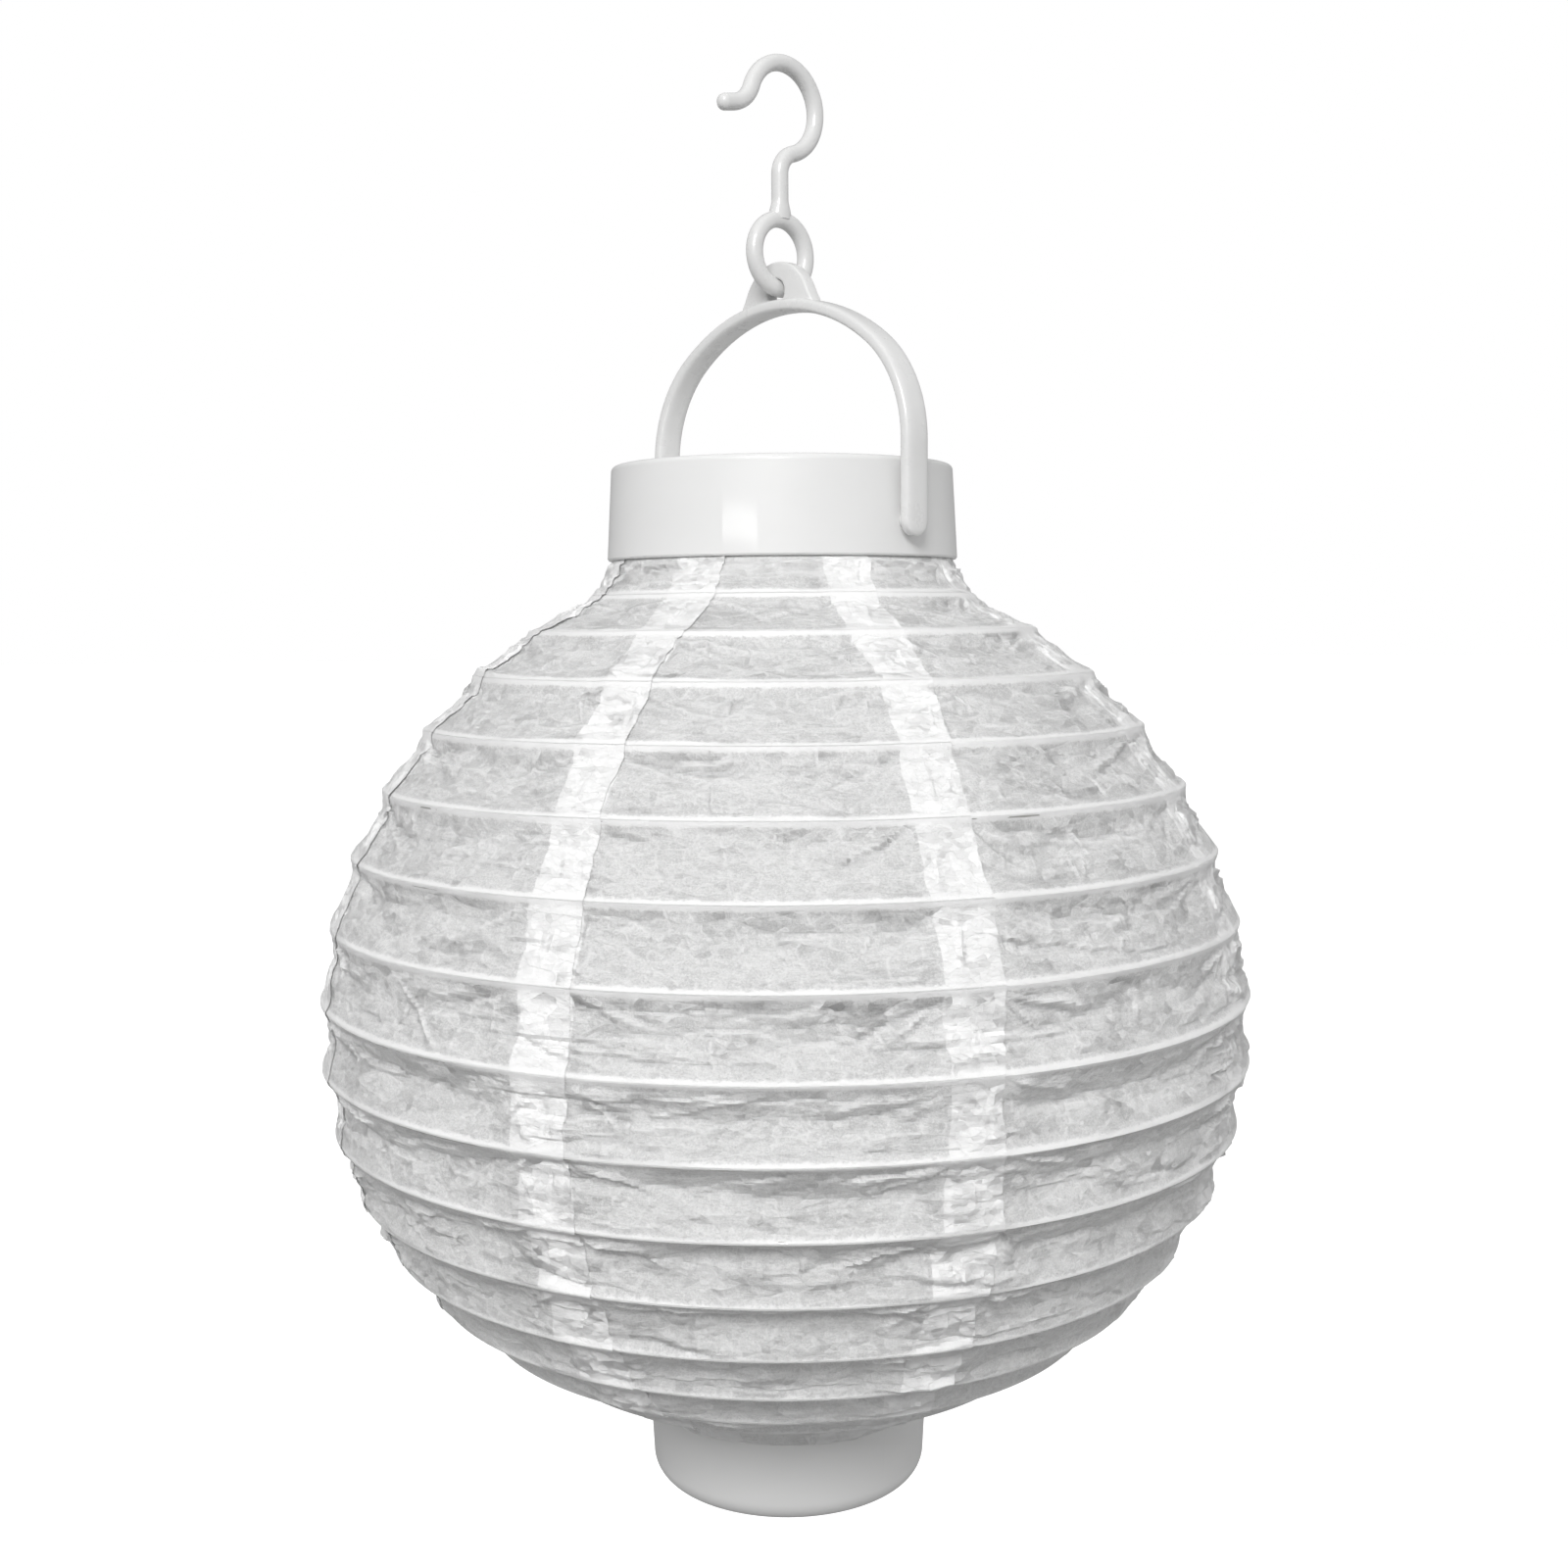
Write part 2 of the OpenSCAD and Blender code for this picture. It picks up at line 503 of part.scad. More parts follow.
hanging_hook();
carry_handle();
cap_shell();
battery_tray();
battery_cell_left();
battery_cell_right();
contact_springs();
contact_bridge();
contact_plates();
switch_body();
under_cover();
cover_screws();
led_holder();
led_board();
led_lamps();
lead_wire_red();
lead_wire_black();
lead_wire_switch();
shade_collar();
paper_gore_1();
paper_gore_2();
paper_gore_3();
paper_gore_4();
paper_gore_5();
paper_gore_6();
paper_gore_7();
paper_gore_8();
battery_door();
door_screw();
switch_knob();
shade_ring_01();
shade_ring_02();
shade_ring_03();
shade_ring_04();
shade_ring_05();
shade_ring_06();
shade_ring_07();
shade_ring_08();
shade_ring_09();
shade_ring_10();
shade_ring_11();
shade_ring_12();
shade_ring_13();
shade_ring_14();
shade_ring_15();
shade_ring_16();
bottom_cup();
cup_clamp_ring();
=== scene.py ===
import json
import math

import bmesh
import bpy
import numpy as np
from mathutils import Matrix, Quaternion, Vector


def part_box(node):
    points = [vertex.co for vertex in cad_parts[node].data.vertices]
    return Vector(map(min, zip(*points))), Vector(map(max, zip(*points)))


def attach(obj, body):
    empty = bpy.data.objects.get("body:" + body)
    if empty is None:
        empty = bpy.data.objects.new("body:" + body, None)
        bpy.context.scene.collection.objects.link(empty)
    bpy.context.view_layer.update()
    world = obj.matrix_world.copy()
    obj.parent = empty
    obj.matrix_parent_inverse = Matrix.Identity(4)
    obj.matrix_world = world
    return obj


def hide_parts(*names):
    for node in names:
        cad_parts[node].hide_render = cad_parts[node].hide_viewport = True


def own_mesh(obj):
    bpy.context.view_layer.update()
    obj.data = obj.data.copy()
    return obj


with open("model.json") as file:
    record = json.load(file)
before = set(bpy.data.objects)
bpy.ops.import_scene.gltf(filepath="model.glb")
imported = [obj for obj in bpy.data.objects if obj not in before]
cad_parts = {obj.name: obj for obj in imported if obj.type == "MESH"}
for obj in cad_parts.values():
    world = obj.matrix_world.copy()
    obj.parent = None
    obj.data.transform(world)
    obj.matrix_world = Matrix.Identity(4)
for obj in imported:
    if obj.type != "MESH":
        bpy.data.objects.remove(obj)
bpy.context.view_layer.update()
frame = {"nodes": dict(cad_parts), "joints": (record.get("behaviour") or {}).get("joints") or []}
scene = bpy.context.scene
MM = 0.001


# ---------------------------------------------------------------- node helpers
class Nodes:
    """Small helper that builds a material's node tree."""

    def __init__(self, name):
        self.mat = bpy.data.materials.new(name)
        self.mat.use_nodes = True
        self.nt = self.mat.node_tree
        self.nt.nodes.clear()
        self.out = self.nt.nodes.new("ShaderNodeOutputMaterial")

    def new(self, kind, **props):
        n = self.nt.nodes.new(kind)
        for k, v in props.items():
            setattr(n, k, v)
        return n

    def link(self, a, b):
        self.nt.links.new(a, b)

    def noise(self, vec, scale, detail=3.0, rough=0.5, dist=0.0):
        n = self.new("ShaderNodeTexNoise")
        n.inputs["Scale"].default_value = scale
        n.inputs["Detail"].default_value = detail
        n.inputs["Roughness"].default_value = rough
        n.inputs["Distortion"].default_value = dist
        self.link(vec, n.inputs["Vector"])
        return n.outputs["Fac"]

    def voronoi(self, vec, scale, feature="DISTANCE_TO_EDGE", rand=1.0):
        n = self.new("ShaderNodeTexVoronoi", feature=feature)
        n.inputs["Scale"].default_value = scale
        n.inputs["Randomness"].default_value = rand
        self.link(vec, n.inputs["Vector"])
        return n.outputs["Distance"]

    def mapped(self, vec, scale=(1, 1, 1), loc=(0, 0, 0), rot=(0, 0, 0)):
        n = self.new("ShaderNodeMapping")
        n.inputs["Scale"].default_value = scale
        n.inputs["Location"].default_value = loc
        n.inputs["Rotation"].default_value = rot
        self.link(vec, n.inputs["Vector"])
        return n.outputs[0]

    def ramp(self, fac, lo, hi, a=0.0, b=1.0, smooth=False):
        n = self.new("ShaderNodeMapRange")
        if smooth:
            n.interpolation_type = "SMOOTHSTEP"
        n.inputs["From Min"].default_value = lo
        n.inputs["From Max"].default_value = hi
        n.inputs["To Min"].default_value = a
        n.inputs["To Max"].default_value = b
        self.link(fac, n.inputs["Value"])
        return n.outputs["Result"]

    def math(self, op, a, b=None):
        n = self.new("ShaderNodeMath", operation=op)
        for i, v in enumerate((a, b)):
            if v is None:
                continue
            if isinstance(v, (int, float)):
                n.inputs[i].default_value = v
            else:
                self.link(v, n.inputs[i])
        return n.outputs[0]

    def mix(self, fac, a, b):
        n = self.new("ShaderNodeMix", data_type="RGBA")
        for sock, v in ((n.inputs[0], fac), (n.inputs[6], a), (n.inputs[7], b)):
            if isinstance(v, (int, float)):
                sock.default_value = v
            elif isinstance(v, tuple):
                sock.default_value = (*v, 1.0) if len(v) == 3 else v
            else:
                self.link(v, sock)
        return n.outputs[2]

    def bump(self, height, strength, distance, normal=None):
        n = self.new("ShaderNodeBump")
        n.inputs["Strength"].default_value = strength
        n.inputs["Distance"].default_value = distance
        self.link(height, n.inputs["Height"])
        if normal is not None:
            self.link(normal, n.inputs["Normal"])
        return n.outputs[0]

    def principled(self, **values):
        n = self.new("ShaderNodeBsdfPrincipled")
        for k, v in values.items():
            key = k.replace("_", " ")
            sock = n.inputs[key]
            if isinstance(v, (int, float)):
                sock.default_value = v
            elif isinstance(v, tuple):
                sock.default_value = (*v, 1.0) if len(v) == 3 else v
            else:
                self.link(v, sock)
        return n

    def finish(self, shader):
        self.link(shader, self.out.inputs["Surface"])
        return self.mat


def coords(m):
    return m.new("ShaderNodeTexCoord").outputs["Object"]


def plastic(name, colour, rough=0.34, mottle=0.03, coat=0.6, fine=0.1):
    """Injection-moulded plastic: faint flow mottling, a slight orange peel and handling marks in the gloss."""
    m = Nodes(name)
    v = coords(m)
    flow = m.noise(m.mapped(v, (1, 1, 2.2)), 45.0, 4.0, 0.55, 0.6)
    dark = tuple(c * (1 - mottle) for c in colour)
    base = m.mix(m.ramp(flow, 0.35, 0.65), dark, colour)
    wear = m.noise(v, 160.0, 5.0, 0.62)
    r = m.ramp(wear, 0.3, 0.72, rough - 0.05, rough + 0.09)
    peel = m.noise(v, 900.0, 2.0, 0.5)
    wave = m.noise(v, 90.0, 2.0, 0.5)
    b1 = m.bump(wave, 0.1, 0.00015)
    b2 = m.bump(peel, fine, 0.00005, b1)
    p = m.principled(Base_Color=base, Roughness=r, Normal=b2, Specular_IOR_Level=0.5)
    p.inputs["Coat Weight"].default_value = coat
    p.inputs["Coat Roughness"].default_value = 0.05
    p.inputs["IOR"].default_value = 1.49
    return m.finish(p.outputs[0])


def metal(name, colour, rough=0.3, stretch=(1, 1, 1), scale=600.0):
    """Bright plated or drawn metal with fine draw marks."""
    m = Nodes(name)
    v = coords(m)
    lines = m.noise(m.mapped(v, stretch), scale, 4.0, 0.6)
    r = m.ramp(lines, 0.3, 0.7, rough - 0.08, rough + 0.14)
    tone = m.mix(m.ramp(m.noise(v, 80.0, 3.0, 0.6), 0.3, 0.7), tuple(c * 0.86 for c in colour), colour)
    b = m.bump(lines, 0.2, 0.00003)
    p = m.principled(Base_Color=tone, Roughness=r, Normal=b)
    p.inputs["Metallic"].default_value = 1.0
    return m.finish(p.outputs[0])


def simple(name, colour, rough=0.5, scale=300.0, mottle=0.12, bump=0.15):
    m = Nodes(name)
    v = coords(m)
    n = m.noise(v, scale, 4.0, 0.6)
    base = m.mix(m.ramp(n, 0.3, 0.7), tuple(c * (1 - mottle) for c in colour), colour)
    r = m.ramp(n, 0.3, 0.7, rough - 0.06, rough + 0.08)
    b = m.bump(m.noise(v, scale * 3, 2.0, 0.5), bump, 0.00004)
    p = m.principled(Base_Color=base, Roughness=r, Normal=b)
    return m.finish(p.outputs[0])


WHITE = (0.75, 0.75, 0.746)
mat_cap = plastic("cap_white", WHITE, 0.34, mottle=0.015, coat=0.5)
mat_hook = plastic("hook_white", (0.715, 0.715, 0.711), 0.28, fine=0.02)
mat_inner = plastic("inner_white", (0.8, 0.8, 0.79), 0.42, coat=0.0)
mat_wire = metal("ring_steel", (0.62, 0.61, 0.59), 0.34)
mat_screw = metal("zinc_screw", (0.72, 0.73, 0.76), 0.26, (1, 1, 6), 700.0)
mat_contact = metal("nickel_contact", (0.78, 0.76, 0.72), 0.24, (8, 1, 1), 500.0)
mat_black = simple("switch_black", (0.03, 0.03, 0.032), 0.45)
mat_lead_red = simple("lead_red", (0.55, 0.03, 0.025), 0.4, 500.0)
mat_lead_black = simple("lead_black", (0.022, 0.022, 0.024), 0.4, 500.0)
mat_board = simple("board_green", (0.02, 0.17, 0.07), 0.35, 900.0, 0.35)


def cell_material():
    """Generic cell jacket: dark sleeve with a copper-coloured band at the positive end and a bright top."""
    m = Nodes("cell_jacket")
    v = coords(m)
    sep = m.new("ShaderNodeSeparateXYZ")
    m.link(v, sep.inputs[0])
    side = m.math("SIGN", sep.outputs[0])
    along = m.math("MULTIPLY", sep.outputs[1], side)
    band = m.math("GREATER_THAN", along, 0.0125)
    tip = m.math("GREATER_THAN", along, 0.0258)
    sleeve = m.mix(band, (0.035, 0.038, 0.045), (0.55, 0.26, 0.1))
    colour = m.mix(tip, sleeve, (0.75, 0.75, 0.74))
    scuff = m.noise(v, 420.0, 5.0, 0.65)
    p = m.principled(Base_Color=colour, Roughness=m.ramp(scuff, 0.3, 0.7, 0.18, 0.4))
    p.inputs["Metallic"].default_value = 0.6
    p.inputs["Coat Weight"].default_value = 0.4
    return m.finish(p.outputs[0])


def lamp_material():
    m = Nodes("lamp_epoxy")
    v = coords(m)
    n = m.noise(v, 500.0, 3.0, 0.5)
    base = m.mix(m.ramp(n, 0.3, 0.7), (0.93, 0.86, 0.6), (0.95, 0.92, 0.78))
    p = m.principled(Base_Color=base, Roughness=m.ramp(n, 0.3, 0.7, 0.06, 0.16))
    p.inputs["Coat Weight"].default_value = 0.6
    return m.finish(p.outputs[0])


mat_cell = cell_material()
mat_lamp = lamp_material()


def crumple(m, pap, size, tilt, seed, scale=1.0):
    """Height in mm of flat facets, each tilted its own way, of about size mm, and how far a point is from a facet's edge."""
    sx, sy = 1.0 / size[0], 1.0 / size[1]
    at = m.mapped(pap, (sx, sy, 0.0), loc=(seed * 7.31, seed * 3.17, 0.0))
    bend = m.new("ShaderNodeTexNoise")
    bend.inputs["Scale"].default_value = 0.55
    bend.inputs["Detail"].default_value = 1.0
    m.link(at, bend.inputs["Vector"])
    warp = m.new("ShaderNodeVectorMath", operation="MULTIPLY_ADD")
    m.link(bend.outputs["Color"], warp.inputs[0])
    warp.inputs[1].default_value = (1.1, 1.1, 0.0)
    m.link(at, warp.inputs[2])
    cell = m.new("ShaderNodeTexVoronoi", feature="F1")
    cell.voronoi_dimensions = "2D"
    cell.inputs["Scale"].default_value = scale
    m.link(warp.outputs[0], cell.inputs["Vector"])
    gap = m.new("ShaderNodeVectorMath", operation="SUBTRACT")
    m.link(warp.outputs[0], gap.inputs[0])
    m.link(cell.outputs["Position"], gap.inputs[1])
    lean = m.new("ShaderNodeVectorMath", operation="MULTIPLY_ADD")
    m.link(cell.outputs["Color"], lean.inputs[0])
    lean.inputs[1].default_value = (2 * tilt * size[0], 2 * tilt * size[1], 0.0)
    lean.inputs[2].default_value = (-tilt * size[0], -tilt * size[1], 0.0)
    dot = m.new("ShaderNodeVectorMath", operation="DOT_PRODUCT")
    m.link(lean.outputs[0], dot.inputs[0])
    m.link(gap.outputs[0], dot.inputs[1])
    edge = m.new("ShaderNodeTexVoronoi", feature="DISTANCE_TO_EDGE")
    edge.voronoi_dimensions = "2D"
    edge.inputs["Scale"].default_value = scale
    m.link(warp.outputs[0], edge.inputs["Vector"])
    tone = m.new("ShaderNodeSeparateColor")
    m.link(cell.outputs["Color"], tone.inputs[0])
    return dot.outputs["Value"], edge.outputs["Distance"], tone.outputs[2]


def paper_material():
    """Thin white rice paper: fibres, cloudy formation, sharp crumple facets with painted shade on each facet and
    painted glints along their edges, paler on the outside of a crease (scuffing and painted highlight) and painted
    shade inside it, glued over a ring with a painted highlight on the ridge, or lapped.
    """
    m = Nodes("rice_paper")
    pap = m.new("ShaderNodeAttribute", attribute_name="pap").outputs["Vector"]  # across mm, along mm, degrees over the gore
    lap = m.new("ShaderNodeAttribute", attribute_name="lap").outputs["Fac"]
    rdg = m.new("ShaderNodeAttribute", attribute_name="ridge").outputs["Fac"]
    cav = m.new("ShaderNodeAttribute", attribute_name="crease").outputs["Fac"]
    hold = m.new("ShaderNodeAttribute", attribute_name="hold").outputs["Fac"]  # 0 at a wire, 1 where 6 mm away
    cloud = m.noise(m.mapped(pap, (1.0, 1.0, 0.0)), 0.13, 4.0, 0.6, 0.8)
    patch = m.noise(m.mapped(pap, (1.0, 1.4, 0.0), loc=(11.0, 4.0, 0.0)), 0.06, 2.0, 0.5, 0.3)
    fibre = m.noise(m.mapped(pap, (0.35, 2.6, 0.0)), 1.1, 5.0, 0.7, 1.2)
    fibre2 = m.noise(m.mapped(pap, (2.0, 0.5, 0.0), rot=(0, 0, 0.6)), 1.3, 4.0, 0.7, 1.5)
    fib = m.math("MULTIPLY", m.math("ADD", fibre, fibre2), 0.5)
    fleck = m.noise(m.mapped(pap, (1.0, 1.5, 0.0), loc=(3.1, 8.7, 0)), 0.9, 6.0, 0.75, 0.4)
    big, big_edge, big_tone = crumple(m, pap, (11.0, 4.4), 0.22, 1)
    mid, mid_edge, mid_tone = crumple(m, pap, (5.2, 2.4), 0.33, 2)
    small, small_edge, small_tone = crumple(m, pap, (1.7, 1.0), 0.28, 3)
    # each crumple facet's own tone is painted shade, mixed with the paper's cloudy formation
    shade = m.math("ADD", m.math("MULTIPLY", mid_tone, 0.45), m.math("ADD", m.math("MULTIPLY", small_tone, 0.4), m.math("MULTIPLY", cloud, 0.5)))
    thin_and_shaded = m.mix(m.ramp(shade, 0.3, 1.0), PAPER_THIN_SHADE, PAPER_MID)
    fibred = m.mix(m.ramp(fib, 0.46, 0.62), thin_and_shaded, PAPER_FIBRE)
    speck = m.noise(m.mapped(pap, (1.0, 1.3, 0.0), loc=(5.3, 2.9, 0)), 2.3, 3.0, 0.6, 0.3)
    # fine dark and pale specks: painted shade and painted glints of the fine crinkle
    specks_glint_and_shade = m.mix(m.ramp(speck, 0.46, 0.36, 0.0, 0.8), fibred, PAPER_THIN_SHADE)
    specks_glint_and_shade = m.mix(m.ramp(speck, 0.54, 0.62, 0.0, 0.8), specks_glint_and_shade, PAPER_WHITE)
    flecked = m.mix(m.ramp(fleck, 0.54, 0.64, 0.0, 0.75), specks_glint_and_shade, PAPER_WHITE)
    # painted glints: pale lines along the sharp fold edges; painted shade: dark lines along them
    broken = m.ramp(m.noise(pap, 0.45, 3.0, 0.6), 0.39, 0.56)
    glint_line_a = m.math("MULTIPLY", m.ramp(big_edge, 0.06, 0.015), broken)
    glint_line_b = m.math("MULTIPLY", m.ramp(mid_edge, 0.09, 0.02), m.ramp(fleck, 0.39, 0.55))
    shade_line = m.math("MULTIPLY", m.ramp(big_edge, 0.05, 0.01), m.ramp(broken, 0.5, 0.1))
    edge_shaded = m.mix(m.math("MULTIPLY", shade_line, 0.2), flecked, PAPER_CREASE_SHADE)
    glint_lined = m.mix(m.math("MULTIPLY", m.math("MAXIMUM", glint_line_a, glint_line_b), 0.85), edge_shaded, PAPER_WHITE)
    # folds: the outside of a crease is painted paler, part scuffing and part painted highlight; the inside is painted
    # darker as painted shade
    scuffed_and_lit = m.mix(m.ramp(cav, 0.56, 0.95, 0.0, 0.8), glint_lined, PAPER_WHITE)
    folded = m.mix(m.ramp(cav, 0.38, 0.0, 0.0, 0.5), scuffed_and_lit, PAPER_CREASE_SHADE)
    sepp = m.new("ShaderNodeSeparateXYZ")
    m.link(pap, sepp.inputs[0])
    top = m.math("MULTIPLY", m.ramp(m.math("ADD", sepp.outputs[1], m.math("MULTIPLY", fleck, 6.0)), 8.5, 7.0), 0.55)
    folded = m.mix(top, folded, PAPER_WHITE)
    # less light comes through the slack folds towards the foot
    folded = m.mix(m.ramp(sepp.outputs[1], 125.0, 215.0, 0.0, 0.2), folded, PAPER_THIN_SHADE)
    seam = m.ramp(lap, 0.35, 0.65, 0.0, 1.0, True)
    seam_tone = m.mix(m.ramp(m.math("ADD", m.math("MULTIPLY", patch, 0.6), m.math("MULTIPLY", fleck, 0.4)), 0.4, 0.6), SEAM_DULL, SEAM_WHITE)
    seamed = m.mix(m.math("MULTIPLY", seam, m.ramp(mid_edge, 0.02, 0.1, 0.8, 0.96)), folded, seam_tone)
    # the ridge over each wire is painted whiter: glue over the wire, and a painted highlight where the paper wraps it
    ragged = m.math("ADD", rdg, m.math("MULTIPLY", m.math("SUBTRACT", fleck, 0.5), 0.9))
    ridge = m.ramp(ragged, 0.4, 0.62, 0.0, 1.0, True)
    base = m.mix(m.math("MULTIPLY", ridge, 0.95), seamed, (0.985, 0.985, 0.983))
    gloss = m.ramp(m.math("ADD", m.math("MULTIPLY", fib, 0.7), m.math("MULTIPLY", cloud, 0.3)), 0.35, 0.65, 0.28, 0.46)
    rough = m.mix(seam, gloss, (0.3, 0.3, 0.3))
    # crumple, calmer in some places than in others and held flat at the rings
    free = m.ramp(hold, 0.07, 0.52, 0.0, 1.0, True)
    calm = m.ramp(patch, 0.38, 0.6, 0.5, 1.0)
    h = m.math("ADD", m.math("MULTIPLY", m.math("ADD", big, mid), calm), m.math("MULTIPLY", small, m.ramp(cloud, 0.4, 0.62, 0.65, 1.15)))
    h = m.math("MULTIPLY", h, free)
    h = m.math("ADD", h, m.math("MULTIPLY", fib, 0.22))
    h = m.math("ADD", h, m.math("MULTIPLY", fleck, 0.1))
    h = m.math("ADD", h, m.math("MULTIPLY", speck, 0.12))
    nb = m.bump(h, 1.0, 0.001)
    p = m.principled(Base_Color=base, Roughness=rough, Normal=nb)
    p.inputs["Specular IOR Level"].default_value = 0.6
    p.inputs["Sheen Weight"].default_value = 0.06
    t = m.new("ShaderNodeBsdfTranslucent")
    solid = m.math("MAXIMUM", seam, m.math("MULTIPLY", ridge, 0.8))
    m.link(m.mix(solid, (0.9, 0.9, 0.897), (0.84, 0.84, 0.837)), t.inputs["Color"])
    m.link(nb, t.inputs["Normal"])
    mixer = m.new("ShaderNodeMixShader")
    m.link(m.ramp(solid, 0.0, 1.0, 0.27, 0.08), mixer.inputs[0])
    m.link(p.outputs[0], mixer.inputs[1])
    m.link(t.outputs[0], mixer.inputs[2])
    return m.finish(mixer.outputs[0])


SEAM_DULL = (0.95, 0.95, 0.947)
SEAM_WHITE = (0.985, 0.985, 0.983)
PAPER_THIN_SHADE = (0.64, 0.641, 0.64)
PAPER_MID = (0.825, 0.825, 0.823)
PAPER_FIBRE = (0.88, 0.88, 0.877)
PAPER_WHITE = (0.985, 0.985, 0.983)
PAPER_CREASE_SHADE = (0.6, 0.602, 0.605)
mat_paper = paper_material()

# ---------------------------------------------------------------- CAD nodes that stay
FINISH = {
    "hanging_hook": mat_hook, "carry_handle": mat_hook, "cap_shell": mat_cap, "battery_door": mat_cap,
    "switch_knob": mat_cap, "bottom_cup": mat_cap, "battery_tray": mat_inner, "under_cover": mat_inner,
    "led_holder": mat_inner, "shade_collar": mat_inner, "cup_clamp_ring": mat_inner,
    "battery_cell_left": mat_cell, "battery_cell_right": mat_cell, "contact_springs": mat_contact,
    "contact_bridge": mat_contact, "contact_plates": mat_contact, "switch_body": mat_black,
    "cover_screws": mat_screw, "door_screw": mat_screw, "led_board": mat_board, "led_lamps": mat_lamp,
    "lead_wire_red": mat_lead_red, "lead_wire_switch": mat_lead_red, "lead_wire_black": mat_lead_black,
}
SOFT_EDGE = {"cap_shell": 0.3, "battery_door": 0.3, "switch_knob": 0.25, "bottom_cup": 0.25,
             "battery_tray": 0.2, "under_cover": 0.2, "led_holder": 0.3, "shade_collar": 0.2, "cup_clamp_ring": 0.2}
for name, ob in frame["nodes"].items():
    mat = FINISH.get(name, mat_wire if name.startswith("shade_ring") else mat_paper)
    ob.data.materials.clear()
    ob.data.materials.append(mat)
    if name in SOFT_EDGE:
        bev = ob.modifiers.new("edge", "BEVEL")
        bev.width = SOFT_EDGE[name] * MM
        bev.segments = 2
        bev.limit_method = "ANGLE"
        bev.angle_limit = math.radians(40)
        bev.harden_normals = False

# ---------------------------------------------------------------- the paper globe
rings = sorted(n for n in frame["nodes"] if n.startswith("shade_ring"))
WIRE_R = 0.5
cap_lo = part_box("cap_shell")[0]
cap_r = -cap_lo[0] * 1000
cap_z = cap_lo[2] * 1000
cup_lo, cup_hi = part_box("bottom_cup")
cup_r = cup_hi[0] * 1000
cup_z = cup_hi[2] * 1000
wire = [(cap_r - 1.0, cap_z - 0.15)]  # wire centres, with the paper's two ends
for n in rings:
    lo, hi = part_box(n)
    wire.append(((hi[0] - lo[0]) / 2 * 1000 - WIRE_R, (lo[2] + hi[2]) / 2 * 1000))
wire.append((cup_r + 0.5, cup_z - 1.6))
line = [wire[0]]  # (radius, height) in mm of the paper's outside at each ridge
for i in range(1, len(wire) - 1):
    dr, dz = wire[i + 1][0] - wire[i - 1][0], wire[i + 1][1] - wire[i - 1][1]
    away = (WIRE_R + (0.16 if i <= 10 else 0.3)) / math.hypot(dr, dz)
    line.append((wire[i][0] - dz * away, wire[i][1] + dr * away))
line.append(wire[-1])
BANDS = len(line) - 1
SEAM0 = -25.7
GORE = 45.0
LAP = 6.2
BAND_W = 15.5




def hash01(ix, iy, seed):
    h = (ix.astype(np.int64) * 374761393 + iy.astype(np.int64) * 668265263 + seed * 974634777) & 0xFFFFFFFF
    h = ((h ^ (h >> 13)) * 1274126177) & 0xFFFFFFFF
    return ((h ^ (h >> 16)) & 0xFFFFFF) / float(0xFFFFFF)


def lattice(x, y, seed, nx, sharp):
    """Noise in -1..1 on a lattice with nx cells round the ring; piecewise flat facets where sharp, else smooth."""
    ix = np.floor(x)
    iy = np.floor(y)
    fx = x - ix
    fy = y - iy
    jx = ix.astype(np.int64)
    jy = iy.astype(np.int64)
    a = hash01(jx % nx, jy, seed)
    b = hash01((jx + 1) % nx, jy, seed)
    c = hash01(jx % nx, jy + 1, seed)
    d = hash01((jx + 1) % nx, jy + 1, seed)
    if not sharp:
        fx = fx * fx * (3 - 2 * fx)
        fy = fy * fy * (3 - 2 * fy)
        v = (a * (1 - fx) + b * fx) * (1 - fy) + (c * (1 - fx) + d * fx) * fy
    else:
        flip = hash01(jx % nx, jy, seed + 77) > 0.5
        # two ways to cut each cell in two flat triangles
        v1 = np.where(fx + fy < 1, a + (b - a) * fx + (c - a) * fy, d + (c - d) * (1 - fx) + (b - d) * (1 - fy))
        v2 = np.where(fx > fy, a + (b - a) * fx + (d - b) * fy, a + (d - c) * fx + (c - a) * fy)
        v = np.where(flip, v1, v2)
    return v * 2 - 1


def facets(phi, y, seed, cell_x, cell_y, radius):
    """Crumple of flat facets about cell_x by cell_y mm, in a band of that radius. phi in degrees, y in mm along the paper."""
    nx = max(8, int(round(2 * math.pi * radius / cell_x)))
    u = (phi % 360.0) / 360.0 * nx
    v = y / cell_y
    wx = lattice(u, v, seed + 11, nx, True)
    wy = lattice(u, v + 5.5, seed + 12, nx, True)
    return lattice(u + 0.6 * wx, v + 0.5 * wy, seed, nx, True)


def wander(phi, seed, cell, radius, sharp=True):
    """Noise along a ring only."""
    nx = max(6, int(round(2 * math.pi * radius / cell)))
    u = (phi % 360.0) / 360.0 * nx
    return lattice(u, np.zeros_like(u), seed, nx, sharp)


def smooth(x):
    x = np.clip(x, 0, 1)
    return x * x * (3 - 2 * x)


def seam_gap(phi):
    """Degrees from the middle of the nearest seam strip."""
    d = (phi - SEAM0 - LAP / 2 + GORE / 2) % GORE - GORE / 2
    return np.abs(d)


